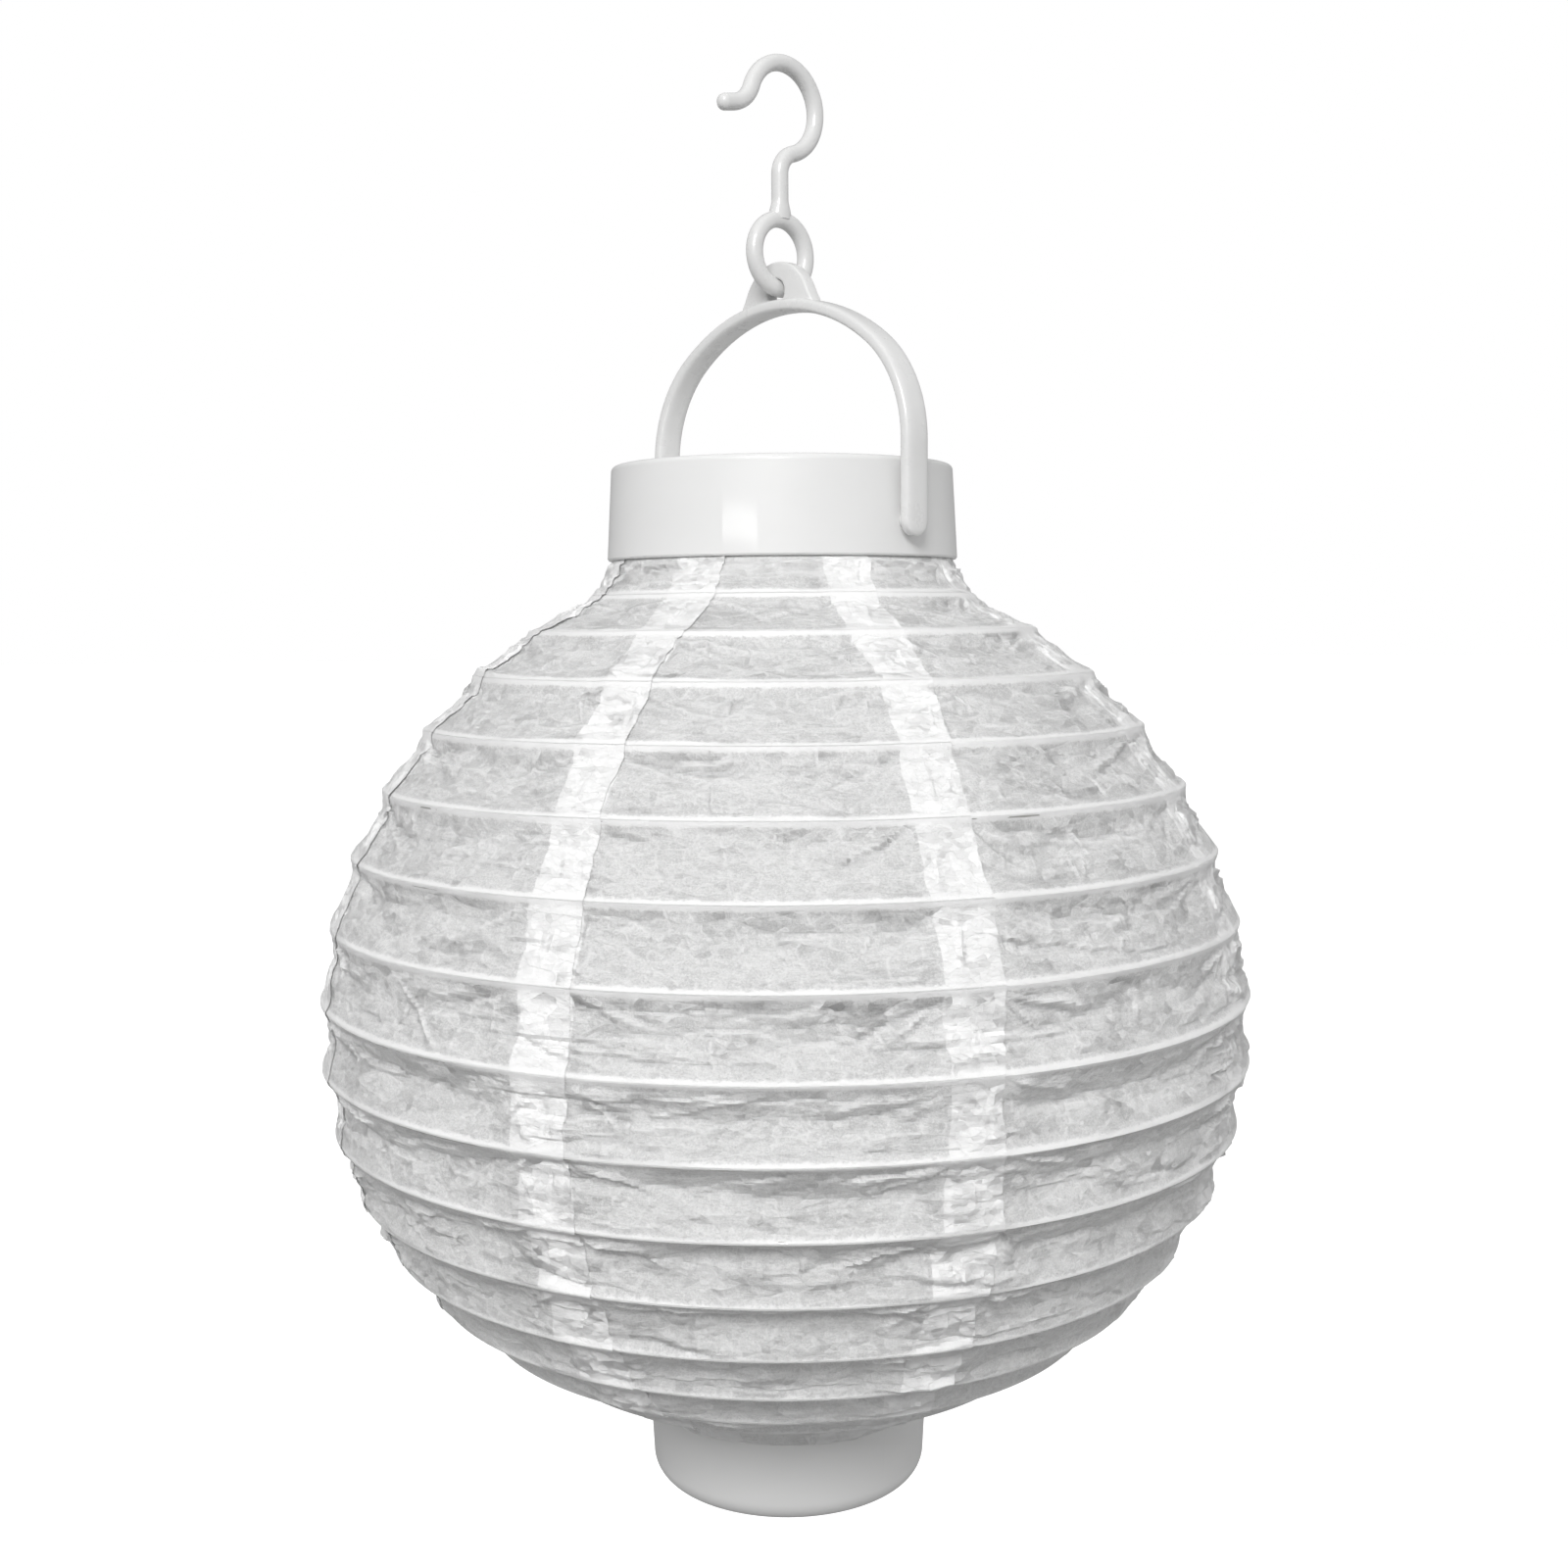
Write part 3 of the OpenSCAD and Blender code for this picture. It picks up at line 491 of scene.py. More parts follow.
class Band:
    def __init__(self, k):
        self.k = k
        (r0, z0), (r1, z1) = line[k], line[k + 1]
        self.r0, self.z0, self.r1, self.z1 = r0, z0, r1, z1
        dr, dz = r1 - r0, z1 - z0
        self.c = math.hypot(dr, dz)
        self.e = (dr / self.c, dz / self.c)
        self.n = (-dz / self.c, dr / self.c)
        self.radius = (r0 + r1) / 2
        self.full = BAND_W if 0 < k < BANDS - 1 else self.c * 1.06
        slack = math.sqrt(max(0.0, (self.full**2 - self.c**2) / 4))
        low = k - 7  # from the widest ring down the bands hang loose
        self.low = min(1.0, max(0.0, low / 3.0))
        if k == 0:
            self.depth, self.crease = 0.4, 0.5
        elif k == BANDS - 1:
            self.depth, self.crease = 1.4, 0.5
        elif low < 0:
            self.depth, self.crease = 0.6 + 0.22 * k, 0.27
        else:
            self.depth, self.crease = 1.45 + 0.54 * slack, 0.4 + 0.008 * low
        rng = np.random.default_rng(1000 + k)
        self.lines = []
        R = self.radius
        # long creases, mostly level, some slanting down from the ring above
        count = int(2 * math.pi * R / (17 if low < 0 else 12))
        for _ in range(count):
            p0 = rng.uniform(0, 360)
            ln = rng.uniform(9, 34) / R * 57.3
            t0 = rng.uniform(0.1, 0.85)
            t1 = np.clip(t0 + rng.normal(0, 0.12 if rng.random() < 0.6 else 0.4), 0.05, 0.95)
            amp = rng.uniform(0.3, 0.85) * (1.0 if low < 0 else 1.1) * rng.choice([-1, 1], p=[0.35, 0.65])
            self.lines.append((p0, t0, p0 + ln, t1, amp, rng.uniform(0.9, 2.6), rng.choice([0.18, 0.5, 0.82])))
        # long, narrow, nearly level creases
        count = int(2 * math.pi * R / (44 if low < 0 else 24))
        for _ in range(count):
            p0 = rng.uniform(0, 360)
            ln = rng.uniform(22, 55) / R * 57.3
            t0 = rng.uniform(0.12, 0.88)
            t1 = np.clip(t0 + rng.normal(0, 0.07), 0.06, 0.94)
            self.lines.append((p0, t0, p0 + ln, t1, rng.uniform(0.22, 0.42) * rng.choice([-1, 1], p=[0.35, 0.65]), rng.uniform(0.7, 1.2), rng.choice([0.22, 0.78])))
        # short upright wrinkles
        count = int(2 * math.pi * R / 15)
        for _ in range(count):
            p0 = rng.uniform(0, 360)
            t0 = rng.uniform(0.06, 0.55)
            t1 = t0 + rng.uniform(0.2, 0.5)
            tilt = rng.normal(0, 2.2) / R * 57.3
            self.lines.append((p0, t0, p0 + tilt, min(t1, 0.97), rng.uniform(0.2, 0.5) * rng.choice([-1, 1], p=[0.75, 0.25]), rng.uniform(0.5, 1.1), rng.choice([0.25, 0.5, 0.75])))
        for s in range(8):
            mid_a = SEAM0 + LAP / 2 + GORE * s
            # diagonal pulls that leave the pinch where a seam crosses the ring above
            for side in (-1, 1):
                for _ in range(2 if low < 0 else 3):
                    at = mid_a + side * rng.uniform(1.6, 4.0)
                    ln = side * rng.uniform(7, 26) / R * 57.3
                    self.lines.append((at, rng.uniform(0.03, 0.12), at + ln, rng.uniform(0.22, 0.7), rng.uniform(0.35, 0.95) * rng.choice([-1, 1], p=[0.5, 0.5]), rng.uniform(0.9, 2.2), rng.choice([0.2, 0.5, 0.8])))
            # the doubled paper of the seam is stiff and buckles in upright folds
            for _ in range(2):
                at = mid_a + rng.uniform(-3.6, 3.6) / R * 57.3
                t0 = rng.uniform(0.05, 0.4)
                self.lines.append((at, t0, at + rng.normal(0, 1.2) / R * 57.3, rng.uniform(0.7, 0.97), rng.uniform(0.2, 0.45) * rng.choice([-1, 1]), rng.uniform(0.6, 1.2), rng.choice([0.25, 0.5, 0.75])))

    def depth_at(self, phi, t):
        """How far the paper lies inside the straight line between the two rings, in mm."""
        k, R = self.k, self.radius
        gap = seam_gap(phi) * R / 57.3
        free = 0.45 + 0.55 * smooth((gap - 3.0) / 13.0)
        c = self.crease * (1 + 0.3 * wander(phi, 31 + k, 19, R) + 0.17 * wander(phi, 61 + k, 6, R) + 0.06 * wander(phi, 71 + k, 2.5, R))
        c = np.clip(c * (0.6 + 0.4 * free), 0.1, 0.75)
        d = self.depth * (1 + 0.26 * wander(phi, 91 + k, 17, R) + 0.12 * wander(phi, 121 + k, 6, R)) * free
        up = t / c
        down = (1 - t) / (1 - c)
        soft = 0.012
        tent = 0.5 * (up + down - np.sqrt((up - down) ** 2 + soft**2))
        fold = d * np.clip(tent, 0, None)
        y = t * self.full
        edge = smooth(t / (0.18 - 0.08 * self.low)) * smooth((1 - t) / 0.09)
        yy = y + 40.0 * k
        upper = 0.55 * facets(phi, yy, 200 + k, 16.0, 6.0, R) + 0.2 * facets(phi, yy, 300 + k, 6.5, 3.0, R) + 0.06 * facets(phi, yy, 400 + k, 2.4, 1.5, R)
        groove = self.low * 0.55 * np.exp(-(((y - 1.9) / 0.9) ** 2)) * (0.6 + 0.6 * wander(phi, 171 + k, 9, R))
        lower = 0.5 * facets(phi, yy, 500 + k, 20.0, 4.2, R) + 0.33 * facets(phi, yy, 600 + k, 9.0, 2.4, R) + 0.14 * facets(phi, yy, 700 + k, 3.2, 1.5, R)
        calm = 0.6 + 0.4 * smooth(0.5 + 0.9 * wander(phi, 151 + k, 40, R, False))
        near_seam = np.exp(-((gap / 9.0) ** 2))
        below = 1 - 0.55 * self.low * smooth((c + 0.04 - t) / 0.1)  # the undercut part is stretched flatter
        crumple = below * calm * ((1 - self.low) * upper * (0.75 + 0.05 * k) + self.low * lower) * (1 + (0.15 + 0.75 * self.low) * near_seam)
        extra = np.zeros_like(t)
        for p0, t0, p1, t1, amp, width, skew in self.lines:
            x = ((phi - p0 + 180) % 360 - 180) * R / 57.3
            v = (t - t0) * self.full
            dx = (p1 - p0) * R / 57.3
            dy = (t1 - t0) * self.full
            length = math.hypot(dx, dy) + 1e-6
            near = (x > min(0, dx) - 3) & (x < max(0, dx) + 3)
            if not near.any():
                continue
            along = (x * dx + v * dy) / length
            # a crease runs straight for a few millimetres, then turns a little
            turn_at = np.abs(((along + p0) / 6.5) % 2 - 1) - 0.5
            off = (x * dy - v * dx) / length + 0.7 * turn_at
            q = along / length
            end = np.clip(np.minimum(q, 1 - q) * 4, 0, 1) * ((q > 0) & (q < 1))
            w = np.where(off > 0, width * skew * 2, width * (1 - skew) * 2)
            extra += np.where(near, amp * end * np.clip(1 - np.abs(off) / w, 0, None), 0)
        return fold + groove + edge * (crumple + extra)

    def place(self, phi, t, lift):
        """Radius and height of the paper for arrays of phi (degrees) and t (0..1)."""
        depth = self.depth_at(phi, t)
        # the paper wraps the wire, so a bead stands out at each ring
        y = t * self.c
        top = 0.0 if self.k == 0 else 0.3 * np.exp(-((y / 0.8) ** 2))
        low = 0.0 if self.k == BANDS - 1 else 0.3 * np.exp(-(((self.c - y) / 2.0) ** 2))
        rest = 0.3 * (t if self.k == 0 else (1 - t) if self.k == BANDS - 1 else 1.0)
        out = top + low - rest - depth + lift
        r = self.r0 + self.e[0] * y + self.n[0] * out
        z = self.z0 + self.e[1] * y + self.n[1] * out
        return r, z, out


bands = [Band(k) for k in range(BANDS)]


def rows(k):
    n = 28 if 0 < k < BANDS - 1 else 18
    j = np.arange(n) / n
    return 0.5 * j + 0.5 * (0.5 - 0.5 * np.cos(math.pi * j))


def gore(index):
    """One paper strip from cap to cup, with its right edge lapped over the next strip."""
    cols = 158
    rng = np.random.default_rng(50 + index)
    P, PAP, LAPV, RDG, HOLD, DEP, YMM, XMM = [], [], [], [], [], [], [], []
    s_mm = zsum = 0.0
    for k in range(BANDS):
        t = rows(k)
        if k == BANDS - 1:
            t = np.append(t, 1.0)
        T = np.repeat(t[:, None], cols + 1, 1)
        U = np.repeat(np.linspace(0, 1, cols + 1)[None, :], len(t), 0)
        S = s_mm + T * bands[k].full
        # hand-cut edges wander by about a millimetre
        R = bands[k].radius
        here = line[k][0] + (line[k + 1][0] - line[k][0]) * T
        lap = (9.6 + 1.9 * np.minimum(1.0, here / 101.6)) / here * 57.3
        a0 = SEAM0 + LAP / 2 + GORE * index - lap / 2
        width = GORE + lap
        ragged0 = (lattice(S / 7.0, np.zeros_like(S), 700 + index, 100000, True) + 0.5 * lattice(S / 2.2, np.zeros_like(S), 720 + index, 100000, True)) * 0.45 * 57.3 / R
        ragged1 = (lattice(S / 8.0, np.zeros_like(S), 740 + index, 100000, True) + 0.5 * lattice(S / 2.0, np.zeros_like(S), 760 + index, 100000, True)) * 0.5 * 57.3 / R
        step0 = lattice(S / BAND_W, np.zeros_like(S), 860 + index, 100000, True) * 0.9 * 57.3 / R
        step1 = lattice(S / BAND_W, np.zeros_like(S), 880 + index, 100000, True) * 0.9 * 57.3 / R
        phi = a0 + (ragged0 + step0) * (1 - U) + (width + ragged1 + step1) * U
        local = phi - a0
        gap_hi = smooth((local - (GORE - 1.6)) / 1.6)
        gap_lo = smooth((lap + 1.4 - local) / 1.6)
        curl = 0.22 * smooth((local - (width + step1 - 0.9)) / 0.9) * (0.5 + 0.5 * lattice(S / 5.0, np.zeros_like(S), 780 + index, 100000, False))
        lift = 0.13 * gap_hi - 0.11 * gap_lo + curl
        r, z, out = bands[k].place(phi, T, lift)
        DEP.append(out)
        YMM.append(T * bands[k].c + zsum)
        XMM.append(local * R / 57.3)
        d0 = T * bands[k].c + (1e3 if k == 0 else 0)
        d1 = (1 - T) * bands[k].c + (1e3 if k == BANDS - 1 else 0)
        near = np.minimum(d0 * (1.0 + 0.7 * bands[k].low), d1 * 0.8)  # the white of glue and painted highlight reaches further above a wire, where the paper faces up, than below it
        HOLD.append(np.clip(np.minimum(d0, d1) / 6.0, 0, 1))
        # the painted ridge highlight is weaker on the lower bands, which face down
        wide = 1.9 - 0.15 * bands[k].low
        RDG.append(np.clip(1.0 - near / wide, 0, 1) * (1.0 - 0.28 * bands[k].low))
        zsum += bands[k].c
        rad = np.radians(phi)
        P.append(np.stack([r * np.cos(rad), r * np.sin(rad), z], -1))
        PAP.append(np.stack([(local + 60 * index) * R / 57.3, S, local], -1))
        edge = (lattice(S / 6.0, np.zeros_like(S), 800 + index, 100000, True) + 0.5 * lattice(S / 1.8, np.zeros_like(S), 820 + index, 100000, True)) * 0.5 * 57.3 / R
        next_step = lattice(S / BAND_W, np.zeros_like(S), 860 + (index + 1) % 8, 100000, True) * 0.9 * 57.3 / R
        last_step = lattice(S / BAND_W, np.zeros_like(S), 880 + (index - 1) % 8, 100000, True) * 0.9 * 57.3 / R
        LAPV.append(np.clip(0.5 + (local - GORE - next_step - edge) * R / 57.3 / 0.7, 0, 1) + np.clip(0.5 + (lap + last_step - local) * R / 57.3 / 0.7, 0, 1))
        s_mm += bands[k].full
    P = np.concatenate(P) * MM
    PAP = np.concatenate(PAP)
    LAPV = np.clip(np.concatenate(LAPV), 0, 1)
    RDG = np.concatenate(RDG)
    HOLD = np.concatenate(HOLD)
    DEP, YMM, XMM = np.concatenate(DEP), np.concatenate(YMM), np.concatenate(XMM)
    # signed sharpness of the folds, from the change of slope along and across; the paper's colour uses it for painted
    # shade in concave folds and paler scuffing and painted highlight on convex ones
    sy = np.diff(DEP, axis=0) / np.maximum(np.diff(YMM, axis=0), 1e-3)
    sx = np.diff(DEP, axis=1) / np.maximum(np.diff(XMM, axis=1), 1e-3)
    fold = np.zeros_like(DEP)
    fold[1:-1] -= np.diff(sy, axis=0)
    fold[:, 1:-1] -= np.diff(sx, axis=1)
    away = np.clip((0.3 - RDG) / 0.25, 0, 1)
    FOLD = 0.5 + 0.5 * np.clip(fold * away * 1.3, -1, 1)
    nr = P.shape[0]
    me = bpy.data.meshes.new(f"paper_strip_{index + 1}")
    idx = np.arange(nr * (cols + 1)).reshape(nr, cols + 1)
    quads = np.stack([idx[:-1, :-1], idx[1:, :-1], idx[1:, 1:], idx[:-1, 1:]], -1).reshape(-1, 4)
    me.from_pydata(P.reshape(-1, 3).tolist(), [], quads.tolist())
    me.update()
    a = me.attributes.new("pap", "FLOAT_VECTOR", "POINT")
    a.data.foreach_set("vector", PAP.reshape(-1).astype(np.float32))
    b = me.attributes.new("lap", "FLOAT", "POINT")
    b.data.foreach_set("value", LAPV.reshape(-1).astype(np.float32))
    for name, values in (("ridge", RDG), ("crease", FOLD), ("hold", HOLD)):
        c = me.attributes.new(name, "FLOAT", "POINT")
        c.data.foreach_set("value", values.reshape(-1).astype(np.float32))
    me.polygons.foreach_set("use_smooth", np.ones(len(me.polygons), bool))
    me.set_sharp_from_angle(angle=math.radians(14))
    ob = bpy.data.objects.new(f"paper_strip_{index + 1}", me)
    scene.collection.objects.link(ob)
    me.materials.append(mat_paper)
    return ob


turns = np.radians(np.arange(0, 360, 2.0))[:, None]
section = np.radians(np.arange(0, 360, 30.0))[None, :]
for i, n in enumerate(rings):
    radius, height = wire[i + 1]
    rr = radius + WIRE_R * np.cos(section)
    P = np.stack([rr * np.cos(turns), rr * np.sin(turns), height + WIRE_R * np.sin(section) + 0 * turns], -1) * MM
    idx = np.arange(P.shape[0] * P.shape[1]).reshape(P.shape[:2])
    on, up = np.roll(idx, -1, 0), np.roll(idx, -1, 1)
    quads = np.stack([idx, on, np.roll(on, -1, 1), up], -1).reshape(-1, 4)
    me = bpy.data.meshes.new(f"ring_wire_{i + 1:02d}")
    me.from_pydata(P.reshape(-1, 3).tolist(), [], quads.tolist())
    me.polygons.foreach_set("use_smooth", np.ones(len(me.polygons), bool))
    me.materials.append(mat_wire)
    ob = bpy.data.objects.new(me.name, me)
    scene.collection.objects.link(ob)
    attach(ob, n.replace("shade_ring", "ring"))
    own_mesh(ob)
    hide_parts(n)

gores = []
for g in range(8):
    ob = gore(g)
    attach(ob, "cap")
    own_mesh(ob)
    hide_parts(f"paper_gore_{g + 1}")
    gores.append(ob)

# ---------------------------------------------------------------- hook and handle, moulded
def arc(cx, cy, r, a0, a1, step=4.0):
    n = max(2, int(abs(a1 - a0) / step))
    return [(cx + r * math.cos(math.radians(a0 + (a1 - a0) * i / n)), cy + r * math.sin(math.radians(a0 + (a1 - a0) * i / n))) for i in range(n + 1)]


def run(a, b, step=1.0):
    n = max(1, int(math.hypot(b[0] - a[0], b[1] - a[1]) / step))
    return [(a[0] + (b[0] - a[0]) * i / n, a[1] + (b[1] - a[1]) * i / n) for i in range(n + 1)]


def sweep(bm, path, half, power, to3, across, sides=32, scale=None, closed=False):
    """Sweep a rounded section (half thickness in the plane, half width across it) along a flat path in mm."""
    pts = [path[0]]
    for q in path[1:]:
        if math.hypot(q[0] - pts[-1][0], q[1] - pts[-1][1]) > 0.02:
            pts.append(q)
    n = len(pts)
    rings3 = []
    for i, q in enumerate(pts):
        a = pts[(i - 1) % n] if closed or i else pts[0]
        b = pts[(i + 1) % n] if closed or i < n - 1 else pts[-1]
        tx, ty = b[0] - a[0], b[1] - a[1]
        length = math.hypot(tx, ty)
        nx, ny = -ty / length, tx / length
        st, sw = scale(i, n, q) if scale else (1.0, 1.0)
        ring3 = []
        for j in range(sides):
            th = 2 * math.pi * j / sides
            c, d = math.cos(th), math.sin(th)
            u = half[0] * st * math.copysign(abs(c) ** (2 / power), c)
            w = half[1] * sw * math.copysign(abs(d) ** (2 / power), d)
            v = to3(q[0] + nx * u, q[1] + ny * u) + across * w
            ring3.append(bm.verts.new(v * MM))
        rings3.append(ring3)
    last = n if closed else n - 1
    for i in range(last):
        r0, r1 = rings3[i], rings3[(i + 1) % n]
        for j in range(sides):
            bm.faces.new((r0[j], r0[(j + 1) % sides], r1[(j + 1) % sides], r1[j]))
    if not closed:
        bm.faces.new(list(reversed(rings3[0])))
        bm.faces.new(rings3[-1])
    return rings3


def piece(name, bm, mat, body, node):
    bmesh.ops.recalc_face_normals(bm, faces=bm.faces)
    me = bpy.data.meshes.new(name)
    bm.to_mesh(me)
    bm.free()
    me.polygons.foreach_set("use_smooth", np.ones(len(me.polygons), bool))
    me.set_sharp_from_angle(angle=math.radians(50))
    me.materials.append(mat)
    ob = bpy.data.objects.new(name, me)
    scene.collection.objects.link(ob)
    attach(ob, body)
    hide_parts(node)
    return ob


def joint_named(name):
    return [j for j in frame["joints"] if j["name"] == name][0]


HOOK_R = 1.75
eye_axis = Vector(joint_named("hook_swing")["pos_m"]).z * 1000  # middle of the eyelet's hole
eye_cz = eye_axis + 8.0587
hook_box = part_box("hanging_hook")
crown_cy, crown_r = 1.0, 9.5
crown_cz = hook_box[1][2] * 1000 - HOOK_R - crown_r
neck_r, tip_r, tip_a, tip_drop = 5.0, 6.5, 160.0, 10.0
neck_a = -math.degrees(math.acos((neck_r - crown_cy) / (crown_r + neck_r)))
neck_cz = crown_cz + (crown_r + neck_r) * math.sin(math.radians(neck_a))
tip_cy = crown_cy + (crown_r + tip_r) * math.cos(math.radians(tip_a))
tip_cz = crown_cz + (crown_r + tip_r) * math.sin(math.radians(tip_a))
tip_c, tip_s = math.cos(math.radians(tip_drop)), math.sin(math.radians(tip_drop))
tip_at = (tip_cy + tip_r * tip_s, tip_cz - tip_r * tip_c)
tip_end = (tip_at[0] - 2.4 * tip_c, tip_at[1] - 2.4 * tip_s)
over = (tip_end[0] - 1.72 * tip_c, tip_end[1] - 1.72 * tip_s)
hook_path = run(over, tip_end, 0.12) + run(tip_end, tip_at, 0.5)[1:] + arc(tip_cy, tip_cz, tip_r, 270 + tip_drop, tip_a + 180)[1:]
hook_path += arc(crown_cy, crown_cz, crown_r, tip_a, neck_a)[1:] + arc(neck_r, neck_cz, neck_r, 180 + neck_a, 180)[1:]
hook_path += run((0.0, neck_cz), (0.0, eye_cz + 7.4), 0.4)[1:]


def hook_scale(i, n, q):
    d = math.hypot(q[0] - over[0], q[1] - over[1])
    tip = math.sqrt(max(0.0, 1 - ((1.72 - min(d, 1.72)) / 1.75) ** 2))
    flare = 1 + 0.42 * smooth((eye_cz + 11.6 - q[1]) / 3.2) if abs(q[0]) < 0.01 and q[1] < neck_cz - 3 else 1.0
    return max(tip, 0.06) * flare, max(tip, 0.06) * (1 + (flare - 1) * 0.3)


bm = bmesh.new()
sweep(bm, hook_path, (HOOK_R, HOOK_R), 2.35, lambda u, v: Vector((0, u, v)), Vector((1, 0, 0)), 32, hook_scale)
sweep(bm, arc(0, eye_cz, 7.4, 0, 360, 3.75)[:-1], (HOOK_R, HOOK_R), 2.35, lambda u, v: Vector((0, u, v)), Vector((1, 0, 0)), 28, None, True)
hook_piece = piece("hook_moulding", bm, mat_hook, "hook", "hanging_hook")

STRAP_W, STRAP_T = 6.4, 2.8
handle_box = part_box("carry_handle")
leg_x = handle_box[1][0] * 1000
pivot_z = Vector(joint_named("handle_pivot")["pos_m"]).z * 1000
plate_top = handle_box[1][2] * 1000  # top of the eyelet plate
strap_top = plate_top - 8.1
side_r, top_r = 28.0, 50.8
side_cx = leg_x - side_r
top_cz = strap_top - top_r
side_cz = top_cz + math.sqrt((top_r - side_r) ** 2 - side_cx**2)
side_a = math.degrees(math.atan2(side_cz - top_cz, side_cx))
leg_m = leg_x - STRAP_T / 2
half_path = run((leg_m, pivot_z - STRAP_W / 2 + 0.01), (leg_m, pivot_z), 0.16) + run((leg_m, pivot_z), (leg_m, side_cz), 0.8)[1:]
half_path += arc(side_cx, side_cz, side_r - STRAP_T / 2, 0, side_a, 3.0)[1:]
half_path += arc(0, top_cz, top_r - STRAP_T / 2, side_a, 90, 2.0)[1:]
strap_path = half_path + [(-x, z) for x, z in reversed(half_path[:-1])]


def strap_scale(i, n, q):
    if q[1] >= pivot_z:
        return 1.0, 1.0
    d = (pivot_z - q[1]) / (STRAP_W / 2)
    w = math.sqrt(max(0.0, 1 - d * d))
    return 0.55 + 0.45 * math.sqrt(max(0.0, 1 - max(0.0, (d - 0.55) / 0.45) ** 2)), max(w, 0.05)


bm = bmesh.new()
sweep(bm, strap_path, (STRAP_T / 2, STRAP_W / 2), 3.6, lambda u, v: Vector((u, 0, v)), Vector((0, 1, 0)), 36, strap_scale)
for sx in (-1, 1):  # pivot pegs
    sweep(bm, run((sx * (leg_x - STRAP_T - 4), pivot_z), (sx * (leg_x - STRAP_T + 0.5), pivot_z), 1.5), (2.0, 2.0), 2.0,
          lambda u, v: Vector((u, 0, v)), Vector((0, 1, 0)), 24)
# eyelet plate: a low dome on top of the strap, flared where it meets it, with the hole for the ring
outline = []
base_z = strap_top - 1.6
for i in range(49):
    a = math.radians(8 + 164 * i / 48)
    x, z = 10.5 * math.cos(a), strap_top - 2.4 + 10.5 * math.sin(a)
    outline.append((x + math.copysign(2.3 * math.exp(-(z - base_z) / 0.95), x) if abs(x) > 6 else x, z))
outline[0] = (outline[0][0], base_z)
outline[-1] = (outline[-1][0], base_z)
hole = arc(0, eye_axis, 2.7, 0, 360, 10)[:-1]
plate = bmesh.new()
for loop in (outline, hole):
    vs = [plate.verts.new((x * MM, -0.0016, z * MM)) for x, z in loop]
    for a, b in zip(vs, vs[1:] + vs[:1]):
        plate.edges.new((a, b))
bmesh.ops.triangle_fill(plate, use_beauty=True, edges=plate.edges[:])
top_faces = bmesh.ops.extrude_face_region(plate, geom=plate.faces[:])
bmesh.ops.translate(plate, verts=[v for v in top_faces["geom"] if isinstance(v, bmesh.types.BMVert)], vec=(0, 0.0032, 0))
bmesh.ops.recalc_face_normals(plate, faces=plate.faces)
rim = [e for e in plate.edges if len(e.link_faces) == 2 and e.calc_face_angle(0) > math.radians(50)]
bmesh.ops.bevel(plate, geom=rim, offset=0.00055, segments=4, profile=0.5, affect="EDGES", clamp_overlap=True)
plate_mesh = bpy.data.meshes.new("plate")
plate.to_mesh(plate_mesh)
plate.free()
bm.from_mesh(plate_mesh)
bpy.data.meshes.remove(plate_mesh)
handle_piece = piece("handle_moulding", bm, mat_hook, "handle", "carry_handle")

# ---------------------------------------------------------------- stage, light and camera
floor_mesh = bpy.data.meshes.new("floor")
bm = bmesh.new()
bmesh.ops.create_circle(bm, cap_ends=True, radius=30.0, segments=96)
bm.to_mesh(floor_mesh)
bm.free()
floor = bpy.data.objects.new("floor", floor_mesh)
scene.collection.objects.link(floor)
floor.location = (0, 0, -0.75)
fm = Nodes("pale_floor")
fv = coords(fm)
fn = fm.noise(fv, 3.0, 3.0, 0.5)
fp = fm.principled(Base_Color=fm.mix(fm.ramp(fn, 0.3, 0.7), (0.9, 0.9, 0.9), (0.93, 0.93, 0.93)), Roughness=0.9)
fp.inputs["Emission Color"].default_value = (1, 1, 1, 1)
fp.inputs["Emission Strength"].default_value = 0.72
floor.data.materials.append(fm.finish(fp.outputs[0]))
floor.visible_diffuse = False
floor.visible_glossy = False

world = bpy.data.worlds.new("studio")
scene.world = world
world.use_nodes = True
wt = world.node_tree
wt.nodes.clear()
wo = wt.nodes.new("ShaderNodeOutputWorld")
path = wt.nodes.new("ShaderNodeLightPath")
seen = wt.nodes.new("ShaderNodeBackground")
seen.inputs[0].default_value = (1, 1, 1, 1)
seen.inputs[1].default_value = 1.0
lit = wt.nodes.new("ShaderNodeBackground")
tc = wt.nodes.new("ShaderNodeTexCoord")
sep = wt.nodes.new("ShaderNodeSeparateXYZ")
wt.links.new(tc.outputs["Generated"], sep.inputs[0])
ramp = wt.nodes.new("ShaderNodeMapRange")
ramp.inputs["From Min"].default_value = -1.0
ramp.inputs["From Max"].default_value = 1.0
ramp.inputs["To Min"].default_value = 0.235
ramp.inputs["To Max"].default_value = 0.53
wt.links.new(sep.outputs[2], ramp.inputs["Value"])
# the room is a little brighter to the right
turn = wt.nodes.new("ShaderNodeVectorMath")
turn.operation = "DOT_PRODUCT"
turn.inputs[1].default_value = (-math.cos(math.radians(48)), -math.sin(math.radians(48)), 0)
wt.links.new(tc.outputs["Generated"], turn.inputs[0])
side = wt.nodes.new("ShaderNodeMath")
side.operation = "MULTIPLY_ADD"
side.inputs[1].default_value = -0.045
wt.links.new(turn.outputs["Value"], side.inputs[0])
wt.links.new(ramp.outputs["Result"], side.inputs[2])
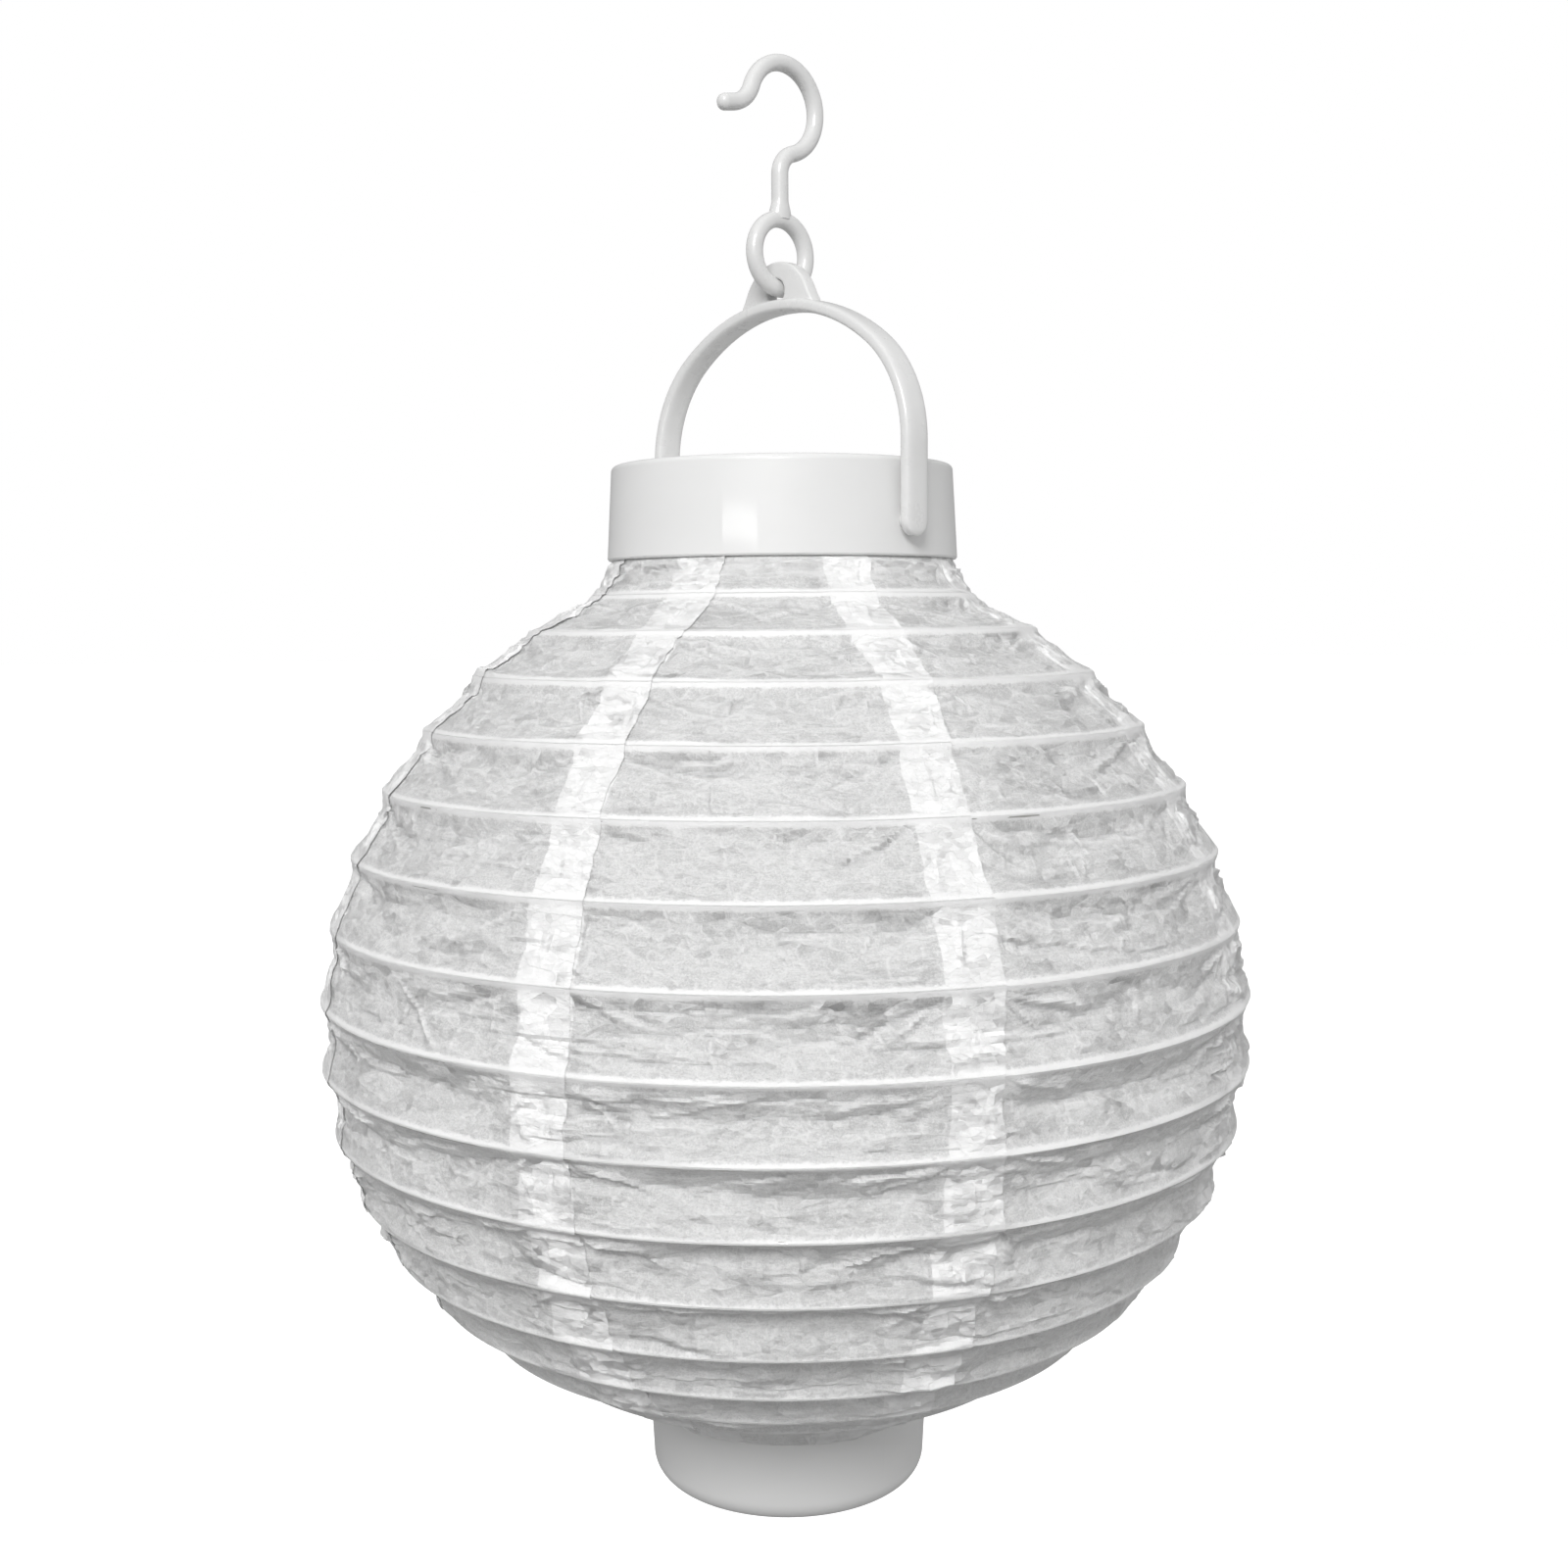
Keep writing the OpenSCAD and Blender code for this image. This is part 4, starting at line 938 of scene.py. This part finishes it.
# and its two side walls are white
wall = wt.nodes.new("ShaderNodeMath")
wall.operation = "MULTIPLY"
wt.links.new(turn.outputs["Value"], wall.inputs[0])
wt.links.new(turn.outputs["Value"], wall.inputs[1])
both = wt.nodes.new("ShaderNodeMath")
both.operation = "MULTIPLY_ADD"
both.inputs[1].default_value = 0.18
wt.links.new(wall.outputs[0], both.inputs[0])
wt.links.new(side.outputs[0], both.inputs[2])
lit.inputs[0].default_value = (1, 1, 1, 1)
wt.links.new(both.outputs[0], lit.inputs[1])
mixw = wt.nodes.new("ShaderNodeMixShader")
wt.links.new(path.outputs["Is Camera Ray"], mixw.inputs[0])
wt.links.new(lit.outputs[0], mixw.inputs[1])
wt.links.new(seen.outputs[0], mixw.inputs[2])
wt.links.new(mixw.outputs[0], wo.inputs[0])

AZ = 48.0
ROLL = 0.4
CAM_D = 0.41
CAM_Z = -0.1171
PITCH = 5.09
az = math.radians(AZ)
back = Vector((math.sin(az), -math.cos(az), 0))
right = Vector((math.cos(az), math.sin(az), 0))
cam_data = bpy.data.cameras.new("camera")
cam = bpy.data.objects.new("camera", cam_data)
scene.collection.objects.link(cam)
cam.location = back * CAM_D + Vector((0, 0, CAM_Z))
direction = -back * math.cos(math.radians(PITCH)) - Vector((0, 0, math.sin(math.radians(PITCH))))
cam.rotation_euler = (direction.to_track_quat("-Z", "Y") @ Quaternion((0, 0, 1), math.radians(-ROLL))).to_euler()
cam_data.sensor_width = 36.0
cam_data.lens = 42.59
cam_data.clip_start = 0.01
scene.camera = cam


def area(name, where, target, size, power, colour=(1, 1, 1), size_y=None):
    d = bpy.data.lights.new(name, "AREA")
    d.energy = power
    d.color = colour
    d.shape = "RECTANGLE"
    d.size = size
    d.size_y = size_y or size
    o = bpy.data.objects.new(name, d)
    scene.collection.objects.link(o)
    o.location = where
    o.rotation_euler = (Vector(target) - Vector(where)).to_track_quat("-Z", "Y").to_euler()
    return o


mid = Vector((0, 0, -0.17))


def toward(turn, rise, dist):
    """A place seen from the middle of the lantern: turned left of the camera and raised, in degrees."""
    t, e = math.radians(turn), math.radians(rise)
    return mid + (back * math.cos(t) - right * math.sin(t)) * math.cos(e) * dist + Vector((0, 0, math.sin(e) * dist))


area("softbox", toward(10, 33, 1.5), mid, 0.7, 16.8, size_y=0.5)
fill = area("fill", toward(178, 38, 1.7), mid, 0.9, 5.0)
fill.visible_glossy = False
area("window", toward(27, 11.6, 1.4), Vector((0, 0, -0.1)), 0.55, 0.32, size_y=0.029)

scene.view_settings.view_transform = "Standard"
scene.view_settings.look = "None"
scene.view_settings.exposure = 0.0
scene.view_settings.gamma = 1.0
